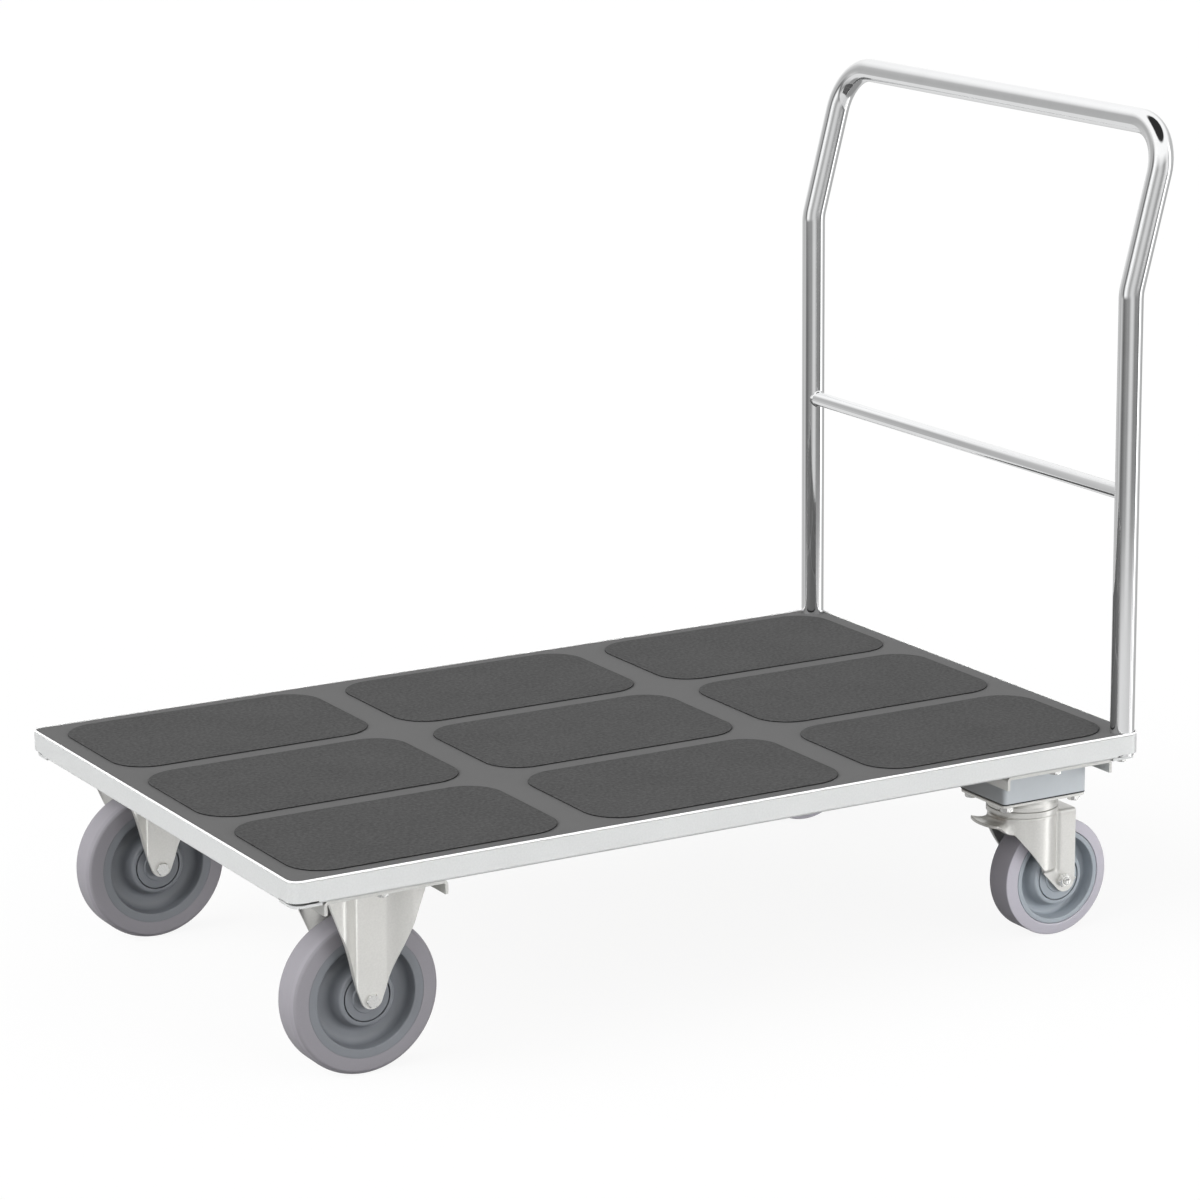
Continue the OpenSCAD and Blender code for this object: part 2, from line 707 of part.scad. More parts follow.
// Plan of the fork, round at the head and straight at the rear panels, drawn in by an inset
module fork_plan(inset) {
    circle(fork_wall_r - inset);
    translate([0, inset - swivel_leg_w / 2])
        square([rear_trail + swivel_tip_r, swivel_leg_w - 2 * inset]);
}

// One leg at positive Y: an upper part that bulges and, stepped inwards, the tip that holds the axle
module swivel_leg() {
    step_z = rear_wheel_d / 2 + swivel_tip_r;
    intersection() {
        leg_slab(fork_inner, fork_wall_r);
        translate([0, 0, step_z - fork_t]) difference() {
            linear_extrude(crown_top - step_z) fork_plan(0);
            translate([0, 0, fork_t]) linear_extrude(crown_top) fork_plan(fork_t);
        }
    }
    intersection() {
        leg_slab(fork_inner, fork_tip_w / 2);
        translate([-plate_l, 0, step_z - 2 * plate_l]) cube(2 * plate_l);
    }
}

module swivel_fork() color("lightgray") difference() {
    union() {
        translate([0, 0, crown_z]) cylinder(r = crown_r, h = crown_top - crown_z);
        translate([0, 0, crown_z]) linear_extrude(fork_t) fork_plan(0);
        swivel_leg();
        mirror([0, 1, 0]) swivel_leg();
        translate([0, 0, crown_z]) linear_extrude(fork_t) intersection() {
            circle(lip_r);
            translate([-lip_r, -lip_w / 2]) square([lip_r, lip_w]);
        }
    }
    axle_hole(rear_trail, rear_wheel_d / 2);
    translate([0, 0, crown_z - eps]) cylinder(d = kingpin_d + 2 * running_gap, h = rear_plate_z);
    ball_groove();
}

module swivel_plate_bolts() color("silver") at_all_casters("rear")
    for (p = bolt_places(swivel_pitch_x, swivel_pitch_y)) translate([p[0], p[1], swivel_top])
        bolt(bolt_d, bolt_top_z - swivel_top - hole_spare, bolt_af, bolt_head_h);

// Axle with its nut on the near side
module rear_axle() color("silver") on_axle(rear_trail, rear_wheel_d / 2) {
    translate([0, 0, -fork_tip_w / 2 - axle_head_h]) hex_head(nut_af, axle_head_h);
    translate([0, 0, -fork_tip_w / 2 - eps])
        cylinder(d = axle_d, h = fork_tip_w + nut_h + thread_end + eps);
}

module rear_axle_nut() on_axle(rear_trail, rear_wheel_d / 2)
    translate([0, 0, fork_tip_w / 2]) axle_nut();

deck_rim();
deck_board();
deck_mat();
for (column = [0:2], row = [0:2])
    grip_panel(column - 1, row - 1);
for (end = ["front", "rear"], side = SIDES)
    corner_gusset(end, side);
channel("front");  // front_channel
channel("rear");  // rear_channel
channel_screws();
handle_tube();
handle_crossbar();
handle_bolts();
fixed_plate_bolts();
front_axle_nuts();
swivel_plate_bolts();
for (side = SIDES) {
    at_caster("front", side) {
        fixed_fork();
        front_axle();
        on_axle(0, front_wheel_d / 2) {
            axle_sleeve(fixed_inner);
            wheel_centre(front_rim_r, front_rim_r - front_centre_rim_t);
            tyre(front_wheel_d, front_tyre_t, front_tread_w, front_shoulder_w, front_shoulder);
            hub_covers();
        }
    }
    at_caster("rear", side) {
        spacer_block();
        swivel_plate();
        kingpin();
        swivel_balls();
        swivel_fork();
        rear_axle();
        rear_axle_nut();
        on_axle(rear_trail, rear_wheel_d / 2) {
            axle_sleeve(fork_inner);
            wheel_centre(rear_rim_r, rear_rim_r - rear_centre_rim_t);
            tyre(rear_wheel_d, rear_tyre_t, rear_tread_w, rear_shoulder_w, rear_shoulder);
            hub_covers();
        }
    }
}
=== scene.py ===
import json
import math

import bmesh
import bpy
from mathutils import Matrix, Vector


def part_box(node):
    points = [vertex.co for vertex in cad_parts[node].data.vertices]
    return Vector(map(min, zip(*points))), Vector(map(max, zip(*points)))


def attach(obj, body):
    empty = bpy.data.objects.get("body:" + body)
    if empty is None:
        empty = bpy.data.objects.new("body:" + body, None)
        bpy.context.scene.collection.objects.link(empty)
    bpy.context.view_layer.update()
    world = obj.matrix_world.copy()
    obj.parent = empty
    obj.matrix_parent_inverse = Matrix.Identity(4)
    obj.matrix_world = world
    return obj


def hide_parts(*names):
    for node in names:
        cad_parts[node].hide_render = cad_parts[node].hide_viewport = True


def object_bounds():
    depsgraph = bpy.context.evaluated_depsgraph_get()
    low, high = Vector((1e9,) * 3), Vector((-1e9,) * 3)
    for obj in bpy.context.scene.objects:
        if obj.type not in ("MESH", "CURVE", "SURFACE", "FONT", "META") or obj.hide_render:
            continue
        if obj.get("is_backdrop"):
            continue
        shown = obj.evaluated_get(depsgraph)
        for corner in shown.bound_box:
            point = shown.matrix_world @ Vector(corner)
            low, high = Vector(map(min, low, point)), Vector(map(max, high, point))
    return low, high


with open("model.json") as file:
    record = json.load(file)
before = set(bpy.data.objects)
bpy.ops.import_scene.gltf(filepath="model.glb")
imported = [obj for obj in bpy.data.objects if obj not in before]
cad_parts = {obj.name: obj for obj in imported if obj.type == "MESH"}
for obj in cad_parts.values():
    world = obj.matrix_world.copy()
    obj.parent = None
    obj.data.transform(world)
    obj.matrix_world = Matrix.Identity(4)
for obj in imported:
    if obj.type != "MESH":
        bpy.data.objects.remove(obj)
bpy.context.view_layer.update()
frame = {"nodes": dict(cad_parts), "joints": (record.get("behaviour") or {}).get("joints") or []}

# Deck rim: one folded sheet of bright zinc-plated steel round the board. Its lip stands proud of the mat as
# a bead with a fine groove under it, and the top of the bead is painted white as a painted highlight. Its
# lower edge is bent inwards under the board, and that bend is cut away at the four corners.
mm = 0.001
sides = ("left", "right")
out_of_reach = 10.0
rim_low, rim_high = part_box("deck_rim")
rim_sheet = 2 * mm
rim_corner = 16 * mm
rim_bend = 4 * mm
rim_flange = 25 * mm
rim_relief = 36.3 * mm
rim_edge_round = 0.9 * mm
rim_corner_steps = 8
bead = 2.2 * mm
highlight_blend = 0.2 * mm
groove = 1.2 * mm
hair = 0.01 * mm


class Wire:
    """One output of a material's nodes. Sums of wires and numbers add Math nodes."""

    def __init__(self, socket):
        self.socket = socket

    def node(self, kind, sockets=None, output=0, stops=None, **settings):
        """Any other node: its settings come first, then the values or wires of its sockets."""
        tree = self.socket.id_data
        made = tree.nodes.new("ShaderNode" + kind)
        for setting, value in settings.items():
            setattr(made, setting, value)
        if stops:
            ramp = made.color_ramp.elements
            while len(ramp) < len(stops):
                ramp.new(1)
            for element, (place, colour) in zip(ramp, stops):
                element.position = place
                element.color = (*colour, 1)
        for socket, value in (sockets or {}).items():
            if isinstance(value, Wire):
                tree.links.new(value.socket, made.inputs[socket])
            else:
                made.inputs[socket].default_value = value
        return Wire(made.outputs[output])

    def math(self, operation, first, second):
        return self.node("Math", {0: first, 1: second}, operation=operation)

    def __add__(self, other):
        return self.math("ADD", self, other)

    __radd__ = __add__

    def __mul__(self, other):
        return self.math("MULTIPLY", self, other)

    __rmul__ = __mul__

    def __sub__(self, other):
        return self.math("SUBTRACT", self, other)

    def __rsub__(self, other):
        return self.math("SUBTRACT", other, self)

    def noise(self, scale, detail=4.0, roughness=0.55):
        """Cloudy values from 0 to 1, centred on a half, over this wire's coordinates."""
        sockets = {"Vector": self, "Scale": scale, "Detail": detail, "Roughness": roughness}
        return self.node("TexNoise", sockets)

    def mix(self, low, high):
        """A colour between low and high, as this wire goes from 0 to 1."""
        low, high = (end if isinstance(end, Wire) else (*end, 1) for end in (low, high))
        return self.node("Mix", {"Factor": self, 6: low, 7: high}, output=2, data_type="RGBA")

    def rise(self, low, high, shape="SMOOTHSTEP"):
        """0 below low, 1 above high and an even curve between."""
        sockets = {"Value": self, "From Min": low, "From Max": high}
        return self.node("MapRange", sockets, interpolation_type=shape)

    def axis(self, k):
        """One of the three parts of a place or direction."""
        return self.node("SeparateXYZ", {0: self}, output=k)

    def stretched(self, x, y, z):
        """These coordinates drawn out along the axes."""
        return self.node("Mapping", {"Vector": self, "Scale": (x, y, z)})

    def bump(self, strength, distance):
        sockets = {"Height": self, "Strength": strength, "Distance": distance}
        return self.node("Bump", sockets)


def finish(name, metallic=0.0, roughness=0.5, **sockets):
    """A material with one shader. Returns it, its shader and a wire of its place on the object."""
    made = bpy.data.materials.new(name)
    made.use_nodes = True
    shader = made.node_tree.nodes["Principled BSDF"]
    shader.inputs["Metallic"].default_value = metallic
    shader.inputs["Roughness"].default_value = roughness
    for socket, value in sockets.items():
        shader.inputs[socket.replace("_", " ")].default_value = value
    place = made.node_tree.nodes.new("ShaderNodeTexCoord")
    return made, shader, Wire(place.outputs["Object"])


def feed(shader, **wires):
    """Links wires to a shader's sockets, such as Base_Color."""
    for socket, wire in wires.items():
        tree = wire.socket.id_data
        tree.links.new(wire.socket, shader.inputs[socket.replace("_", " ")])


def shade(colour, factor):
    return tuple(min(1.0, channel * factor) for channel in colour)


def zinc(name, colour, roughness, metallic, painted_highlight_above=out_of_reach):
    """Zinc-plated steel: soft clouds and a fine grain of the plating, and white above a height as a painted
    highlight.
    """
    made, shader, place = finish(name, metallic)
    clouds = place.noise(12, 2)
    grain = place.noise(400, 2)
    tone = (clouds * 0.3 + grain * 0.7).rise(0.3, 0.7, "LINEAR")
    plated = tone.mix(shade(colour, 0.95), shade(colour, 1.05))
    feed(
        shader,
        Base_Color=place.axis(2).rise(painted_highlight_above - highlight_blend, painted_highlight_above).mix(plated, (1, 1, 1)),
        Roughness=roughness - 0.03 + clouds * 0.06,
    )
    return made


def piece(name, material, body, slot, *replaced):
    """A new empty piece that rides on a body, takes a finish and stands for CAD nodes. Its slot is not
    used.
    """
    made = bpy.data.objects.new(name, bpy.data.meshes.new(name))
    bpy.context.scene.collection.objects.link(made)
    made.data.materials.append(material)
    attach(made, body)
    if replaced:
        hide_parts(*replaced)
    return made


def close_up(made, build, crease=35):
    """Gives a piece its mesh, with edges sharper than the crease angle left sharp."""
    bmesh.ops.recalc_face_normals(build, faces=build.faces)
    for face in build.faces:
        face.smooth = True
    build.to_mesh(made.data)
    build.free()
    made.data.set_sharp_from_angle(angle=math.radians(crease))
    return made


def arc(before, here, after, radius, steps):
    """Points that round off the corner of a path, in two or three dimensions."""
    back = (before - here).normalized()
    ahead = (after - here).normalized()
    half = back.angle(ahead) / 2
    centre = here + (back + ahead).normalized() * radius / math.sin(half)
    start = here + back * radius / math.tan(half) - centre
    end = here + ahead * radius / math.tan(half) - centre
    return [centre + start.slerp(end, step / steps) * radius for step in range(steps + 1)]


def rounded(corners, steps=6):
    """A closed outline through (u, v, radius) corners, with each corner an arc."""
    spots = [Vector(corner[:2]) for corner in corners]
    points = []
    for i, (_, _, radius) in enumerate(corners):
        after = spots[(i + 1) % len(spots)]
        points += arc(spots[i - 1], spots[i], after, radius, steps) if radius else [spots[i]]
    return points


def join_rows(build, first, second, around=True):
    """Faces between two rows of the same number of vertices."""
    count = len(first)
    for i in range(count if around else count - 1):
        j = (i + 1) % count
        build.faces.new((first[i], first[j], second[j], second[i]))


def rim_stations():
    """Outer points of the rim with their inward normals, and where each side's bend starts or ends."""
    half = (rim_high - rim_low) / 2
    middle = (rim_high + rim_low) / 2
    stations = []
    for turn in range(4):
        way = Matrix.Rotation(math.radians(90 * turn), 2)
        along, across = (half.x, half.y) if turn % 2 == 0 else (half.y, half.x)
        centre = Vector((along - rim_corner, across - rim_corner))
        spots = [(Vector((along, across - rim_relief)), Vector((-1, 0)), True)]
        for step in range(rim_corner_steps + 1):
            angle = math.radians(90 * step / rim_corner_steps)
            out = Vector((math.cos(angle), math.sin(angle)))
            spots.append((centre + out * rim_corner, -out, False))
        spots.append((Vector((along - rim_relief, across)), Vector((0, -1)), True))
        for point, normal, bend in spots:
            stations.append((way @ point + middle.xy, way @ normal, bend))
    return stations


# The rim's bead, its top 2.2 mm, is painted white as a painted highlight.
zinc_rim = zinc("zinc_rim", (0.635, 0.645, 0.643), 0.33, 0.3, rim_high.z - bead)
rim = piece("rim_sheet", zinc_rim, "chassis", "rim_zinc", "deck_rim")
build = bmesh.new()
web_foot = rim_low.z + rim_bend
wall = rounded(
    [
        (0, web_foot, 0),
        (0, rim_high.z - bead - groove, 0),
        (groove, rim_high.z - bead - groove / 2, 0),
        (0, rim_high.z - bead, 0),
        (0, rim_high.z, rim_edge_round),
        (rim_sheet, rim_high.z, rim_edge_round),
        (rim_sheet, web_foot, 0),
    ]
)
fold = rounded(
    [
        (0, web_foot, 0),
        (0, rim_low.z, rim_bend - hair),
        (rim_flange, rim_low.z, 0),
        (rim_flange, rim_low.z + rim_sheet, 0),
        (rim_sheet, rim_low.z + rim_sheet, rim_bend - rim_sheet - hair),
        (rim_sheet, web_foot, 0),
    ]
)[1:-1]
walls, folds = [], []
for point, normal, bend in rim_stations():
    walls.append([build.verts.new((*(point + normal * inset), z)) for inset, z in wall])
    folds.append([build.verts.new((*(point + normal * inset), z)) for inset, z in fold] if bend else None)
for i, row in enumerate(walls):
    after = walls[(i + 1) % len(walls)]
    join_rows(build, row, after, around=False)
    if folds[i] and folds[(i + 1) % len(walls)]:
        strip = [row[0], *folds[i], row[-1]]
        strip_after = [after[0], *folds[(i + 1) % len(walls)], after[-1]]
        join_rows(build, strip, strip_after, around=False)
        build.faces.new(strip)
        build.faces.new(strip_after)
    else:
        build.faces.new((row[0], row[-1], after[-1], after[0]))
close_up(rim, build)

# Corner gussets: small zinc-plated plates under the rim's corners, which tie its cut bends together.
# The two under the handle carry the spigots that its tube stands on.
for end in ("front", "rear"):
    for side in sides:
        frame["nodes"][f"corner_gusset_{end}_{side}"].data.materials[0] = zinc_rim

# Deck board: a plywood sheet that lies on the rim's bend. Only its raw underside shows, with long
# grain, darker pores and a few patched tones. A band round its edges is painted near black as painted
# shade.
board_low, board_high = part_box("deck_board")
painted_shade_band = 45 * mm


def plywood(name):
    made, shader, place = finish(name, roughness=0.62)
    grain = place.stretched(2.2, 26, 26).noise(3, 6, 0.62)
    pores = place.stretched(14, 260, 260).noise(2.5, 3)
    tone = grain * 0.75 + pores * 0.25
    wood = tone.node(
        "ValToRGB",
        {0: tone},
        stops=[(0.3, (0.30, 0.20, 0.12)), (0.5, (0.47, 0.35, 0.23)), (0.72, (0.60, 0.47, 0.33))],
    )
    # A 45 mm band round the edges is painted near black as painted shade, for the shade in the slots at the
    # rim's cut corners.
    edge_shade = 0.0
    for k in range(2):
        off_middle = place.axis(k) - (board_low[k] + board_high[k]) / 2
        border = (board_high[k] - board_low[k]) / 2 - painted_shade_band
        edge_shade = off_middle.math("ABSOLUTE", off_middle, 0).rise(border, border + 2 * mm) + edge_shade
    feed(
        shader,
        Base_Color=edge_shade.math("MINIMUM", edge_shade, 1).mix(wood, (0.015, 0.015, 0.015)),
        Roughness=0.5 + pores * 0.2,
        Normal=tone.bump(0.25, 0.4 * mm),
    )
    return made


frame["nodes"]["deck_board"].data.materials[0] = plywood("raw_plywood")

# Deck mat: a sheet of grey rubber glued to the board inside the rim's lip. It is matt, with a fine
# grain and the faint clouds of a moulded sheet.
mat_colour = (0.110, 0.110, 0.110)
mat_grain = 1.6 * mm
painted_shade_blend = 0.3 * mm


def rubber(
    name,
    colour,
    grain_size,
    contrast,
    roughness=0.75,
    grain_depth=0.25 * mm,
    gloss=0.35,
    painted_shade_below=-out_of_reach,
):
    """Matt rubber: faint clouds, a fine moulded grain, and painted shade, near black, below a height.

    Returns the material, its shader, its place on the object and its dusty colour."""
    made, shader, place = finish(name, Specular_IOR_Level=gloss)
    cloud = place.noise(11, 5, 0.6)
    grain = place.noise(1 / grain_size, 3, 0.6)
    tone = (cloud * 0.15 + grain * 0.85).rise(0.3, 0.7, "LINEAR")
    dusty = tone.mix(shade(colour, 1 - contrast), shade(colour, 1 + contrast))
    feed(
        shader,
        Base_Color=place.axis(2).rise(painted_shade_below, painted_shade_below + painted_shade_blend).mix(shade(colour, 0.12), dusty),
        Roughness=roughness - 0.1 + grain * 0.2,
        Normal=grain.bump(0.4, grain_depth),
    )
    return made, shader, place, dusty


frame["nodes"]["deck_mat"].data.materials[0] = rubber("mat_rubber", mat_colour, mat_grain, 0.12)[0]

# Grip panels: nine raised panels of darker rubber on the mat, in three rows. Each has round corners
# and a rolled edge that is drawn in at the foot. The edge more than 1.2 mm below the top is painted near
# black as painted shade, so that a thin dark line runs round it.
panel_colour = (0.061, 0.061, 0.061)
panel_corner = 50 * mm
panel_roll = 1.6 * mm
panel_foot = 0.7 * mm
panel_foot_rise = 0.5 * mm
panel_crown = 0.25 * mm
panel_shoulder = 9 * mm
panel_flat = 26 * mm
panel_shade_edge = 1.2 * mm
panel_grain = 4.5 * mm


def nested_outline(low, high, radius, inset, steps=12):
    """A round-cornered rectangle, drawn in by an inset."""
    left, right = low.x + inset, high.x - inset
    near, far = low.y + inset, high.y - inset
    corners = [(left, near), (right, near), (right, far), (left, far)]
    return rounded([(x, y, radius - inset) for x, y in corners], steps)


def skin(build, rows):
    """A closed skin over rows of as many vertices each, with a flat face at both ends."""
    for row, after in zip(rows, rows[1:]):
        join_rows(build, row, after)
    build.faces.new(rows[0])
    build.faces.new(rows[-1])


def stack(build, outlines):
    """A closed skin over outlines given as (points, height), from the bottom up."""
    skin(build, [[build.verts.new((*point, height)) for point in points] for points, height in outlines])


panel_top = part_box("grip_panel_middle_middle")[1].z
# The panels' rolled edges more than 1.2 mm below their top are painted near black as painted shade.
panel_rubber = rubber(
    "grip_rubber", panel_colour, panel_grain, 0.42, 0.82, 0.5 * mm, 0.25, panel_top - panel_shade_edge
)[0]
for place in ("front", "middle", "rear"):
    for row in ("left", "middle", "right"):
        node = f"grip_panel_{place}_{row}"
        low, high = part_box(node)
        panel = piece(f"panel_{place}_{row}", panel_rubber, "chassis", "grip_rubber", node)
        edge = [(panel_foot, low.z), (panel_foot * 0.4, low.z + panel_foot_rise)]
        for step in range(5):
            angle = math.radians(90 * step / 4)
            inset = panel_roll * (1 - math.cos(angle))
            edge.append((inset, high.z - panel_crown - panel_roll * (1 - math.sin(angle))))
        edge += [(panel_shoulder, high.z - panel_crown * 0.4), (panel_flat, high.z)]
        build = bmesh.new()
        stack(build, [(nested_outline(low, high, panel_corner, inset), z) for inset, z in edge])
        close_up(panel, build, 60)

# Caster channels: two pressed zinc channels that run across under the deck and carry the casters,
# with rounded bends and pale sheared ends.
channel_zinc = zinc("channel_zinc", (0.60, 0.60, 0.58), 0.42, 0.7)
for end in ("front", "rear"):
    frame["nodes"][f"{end}_channel"].data.materials[0] = channel_zinc

# Bolts and screws: zinc-plated steel with hexagonal heads whose corners are turned off. They hold the
# channels to the rim, the casters to the channels and the handle to its gussets.
fastener_zinc = zinc("fastener_zinc", (0.86, 0.86, 0.845), 0.15, 1.0)
head_chamfer = 1.1 * mm
head_turned = 0.97
ring_steps = 48
channel_screw = {"af": 16 * mm, "head": 5.5 * mm, "shank": 10 * mm}
caster_bolt = {"af": 17 * mm, "head": 6.4 * mm, "shank": 10 * mm}


def ring_of(build, centre, height, radius):
    """A ring of vertices about an upright axis, whose radius is a function of the angle."""
    points = []
    for i in range(ring_steps):
        angle = 2 * math.pi * i / ring_steps
        out = Vector((math.cos(angle), math.sin(angle), 0)) * radius(angle)
        points.append(build.verts.new(centre + out + Vector((0, 0, height))))
    return points


def round_row(build, centre, radius, height):
    return ring_of(build, centre, height, lambda angle: radius)


def hex_row(build, centre, af, height):
    """A ring along the edge of a hexagon with one corner on X."""
    face = math.pi / 3
    return ring_of(build, centre, height, lambda angle: af / 2 / math.cos(angle % face - face / 2))


def hex_rows(build, centre, af, low, high, chamfer_low, chamfer_high):
    """Rows of a hexagonal prism along Z, with its ends turned to a cone where they have a chamfer."""
    cone = af / 2 * head_turned
    rows = [round_row(build, centre, cone, low)] if chamfer_low else []
    rows.append(hex_row(build, centre, af, low + chamfer_low))
    rows.append(hex_row(build, centre, af, high - chamfer_high))
    return rows + ([round_row(build, centre, cone, high)] if chamfer_high else [])


def bolt_set(name, node, size, xs, ys):
    """Bolts at each x and y, as tall as their node's box. Each stands up from the head below it."""
    low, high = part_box(node)
    made = piece(name, fastener_zinc, "chassis", "fastener_zinc", node)
    build = bmesh.new()
    for place in [Vector((x, y, low.z + size["head"])) for x in xs for y in ys]:
        rows = hex_rows(build, place, size["af"], -size["head"], 0, head_chamfer, 0)
        for height in (0, high.z - low.z - size["head"]):
            rows.append(round_row(build, place, size["shank"] / 2, height))
        skin(build, rows)
    return close_up(made, build)


def outer_rows(node, size):
    """The x of the first and last bolts in a node's box, whose heads have a corner on X."""
    low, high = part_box(node)
    reach = size["af"] / math.sqrt(3)
    return low.x + reach, high.x - reach


screw_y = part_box("channel_screws")[1].y - channel_screw["af"] / 2
screw_x = outer_rows("channel_screws", channel_screw)
bolt_set("channel_screw_set", "channel_screws", channel_screw, screw_x, (-screw_y, screw_y))
low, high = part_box("handle_bolts")
handle_y = high.y - channel_screw["af"] / 2
bolt_set("handle_bolt_set", "handle_bolts", channel_screw, [(low.x + high.x) / 2], (-handle_y, handle_y))
caster_y = abs(frame["joints"][0]["pos_m"][1])
for kind in ("fixed", "swivel"):
    node = f"{kind}_plate_bolts"
    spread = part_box(node)[1].y - caster_bolt["af"] / 2 - caster_y
    ys = [side * caster_y + way * spread for side in (-1, 1) for way in (-1, 1)]
    bolt_set(f"{kind}_plate_bolt_set", node, caster_bolt, outer_rows(node, caster_bolt), ys)

# Handle: one chromed steel tube, bent at two corners and leaning back above its two knees. It is
# polished bright, with only the slightest ripple of the bending and a few faint wipe marks.
tube_low, tube_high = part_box("handle_tube")
tube_radius = 16 * mm
knee_height = 867 * mm
knee_radius = 60 * mm
corner_radius = 62 * mm
tube_steps = 64


def chrome(name):
    made, shader, place = finish(name, 1.0)
    wipes = place.noise(26, 5, 0.65)
    ripple = place.noise(14, 1)
    feed(
        shader,
        Base_Color=wipes.mix((0.86, 0.865, 0.87), (0.93, 0.935, 0.94)),
        Roughness=0.045 + wipes * 0.05,
        Normal=ripple.bump(0.03, 0.6 * mm),
    )
    return made


def bent(corners, steps=14):
    """Points of a path through (point, radius) corners, each bent to its radius."""
    points = [corners[0][0]]
    for (before, _), (here, radius), (after, _) in zip(corners, corners[1:], corners[2:]):
        points += arc(before, here, after, radius, steps)
    return points + [corners[-1][0]]


def tube_rows(build, points, radius):
    """Rings of a tube along a path, turned as little as the path allows."""
    rows = []
    way = (points[1] - points[0]).normalized()
    across = way.orthogonal().normalized()
    for i, point in enumerate(points):
        ahead = points[min(i + 1, len(points) - 1)] - point
        back = point - points[max(i - 1, 0)]
        new_way = (ahead.normalized() + back.normalized()).normalized()
        across = way.rotation_difference(new_way) @ across
        way = new_way
        up = way.cross(across)
        row = []
        for k in range(tube_steps):
            angle = 2 * math.pi * k / tube_steps
            out = radius * math.cos(angle) * across + radius * math.sin(angle) * up
            row.append(build.verts.new(point + out))
        rows.append(row)
    return rows


handle_chrome = chrome("handle_chrome")
tube = piece("handle_bent_tube", handle_chrome, "chassis", "handle_chrome", "handle_tube")
tube_x = tube_low.x + tube_radius
tube_y = tube_high.y - tube_radius
top_point = Vector((tube_high.x - tube_radius, 0, tube_high.z - tube_radius))
path = [
    (Vector((tube_x, -tube_y, tube_low.z)), 0),
    (Vector((tube_x, -tube_y, knee_height)), knee_radius),
    (Vector((top_point.x, -tube_y, top_point.z)), corner_radius),
    (Vector((top_point.x, tube_y, top_point.z)), corner_radius),
    (Vector((tube_x, tube_y, knee_height)), knee_radius),
    (Vector((tube_x, tube_y, tube_low.z)), 0),
]
build = bmesh.new()
skin(build, tube_rows(build, bent(path), tube_radius))
close_up(tube, build)

# Crossbar: a thinner chromed tube whose ends are hollowed to the uprights and welded to them. The
# weld shows as a small smooth fillet round each end.
bar_low, bar_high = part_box("handle_crossbar")
bar_radius = (bar_high.z - bar_low.z) / 2
weld = 2.2 * mm
bar = piece("handle_cross_rod", handle_chrome, "chassis", "handle_chrome", "handle_crossbar")
build = bmesh.new()
bar_z = (bar_low.z + bar_high.z) / 2
rows = []
for side, insets in ((-1, (0, 0.3, 0.7, 1)), (1, (1, 0.7, 0.3, 0))):
    for share in insets:
        row = []
        radius = bar_radius + weld * (1 - share) ** 2
        for k in range(ring_steps):
            angle = 2 * math.pi * k / ring_steps
            x = radius * math.cos(angle)
            saddle = math.sqrt(tube_radius**2 - x**2)
            y = side * (tube_y - saddle - weld * share)
            row.append(build.verts.new((tube_x + x, y, bar_z + radius * math.sin(angle))))
        rows.append(row)
skin(build, rows)
close_up(bar, build, 50)

# Fixed forks: each is one pressing of zinc-plated sheet, bent down from its plate on both sides of the
# front wheel. The middle of each leg is pressed in and runs straight down to the round tip, and the sides
# stand out below the plate's edge and taper off. The cut edges are softened.
spin = {joint["name"]: Vector(joint["pos_m"]) for joint in frame["joints"]}
fork_sheet = 4 * mm
cut_round = 0.5 * mm
fixed_plate_top = 247.5 * mm
fixed_bend = 6 * mm
fixed_tip = 14.2 * mm
fixed_tip_z = 103.2 * mm
taper = 0.367
taper_start = Vector((0, fixed_tip_z)) + Vector((1, -taper)).normalized() * fixed_tip
fixed_tip_off = 34.8 * mm
panel_lean = 0.045
lean_start = 105 * mm
side_off = 55 * mm
fold_in = 19.5 * mm
fold_out = 48.5 * mm
tip_angles = range(8, 72, 7)
leg_rows = 60
leg_columns = 36
bend_steps = 5


def smooth(value, low, high):
    """0 below low, 1 above high and an even curve between."""
    share = min(max((value - low) / (high - low), 0), 1)
    return share * share * (3 - 2 * share)


def sheet(build, points, thickness):
    """A closed pressing over rows of points on its outer face, with rounded cut edges."""
    rows, columns = len(points), len(points[0])

    def normal(i, j):
        along = points[min(i + 1, rows - 1)][j] - points[max(i - 1, 0)][j]
        across = points[i][min(j + 1, columns - 1)] - points[i][max(j - 1, 0)]
        return along.cross(across).normalized()

    normals = [[normal(i, j) for j in range(columns)] for i in range(rows)]
    outer = [[build.verts.new(points[i][j]) for j in range(columns)] for i in range(rows)]
    inner = [
        [build.verts.new(points[i][j] - normals[i][j] * thickness) for j in range(columns)]
        for i in range(rows)
    ]
    for layer in (outer, inner):
        for i in range(rows - 1):
            join_rows(build, layer[i], layer[i + 1], around=False)
    border = [(0, j) for j in range(columns)] + [(i, columns - 1) for i in range(1, rows)]
    border += [(rows - 1, j) for j in range(columns - 2, -1, -1)] + [(i, 0) for i in range(rows - 2, 0, -1)]
    edges = []
    for i, j in border:
        inside = points[min(max(i, 1), rows - 2)][min(max(j, 1), columns - 2)]
        out = (points[i][j] - inside).normalized() * cut_round
        deep = normals[i][j]
        edges.append(
            [
                outer[i][j],
                build.verts.new(points[i][j] + out - deep * cut_round),
                build.verts.new(points[i][j] + out - deep * (thickness - cut_round)),
                inner[i][j],
            ]
        )
    for k, edge in enumerate(edges):
        join_rows(build, edge, edges[(k + 1) % len(edges)], around=False)


def fixed_half_width(z):
    if z < taper_start.y:
        return math.sqrt(max(fixed_tip**2 - (fixed_tip_z - z) ** 2, 0))
    return taper_start.x + (z - taper_start.y) * taper


def fixed_face(x, z):
    """Distance of a fixed fork's outer face from the middle of its wheel."""
    panel_off = fixed_tip_off + panel_lean * max(0, z - lean_start)
    return panel_off + (side_off - panel_off) * smooth(abs(x), fold_in, fold_out)


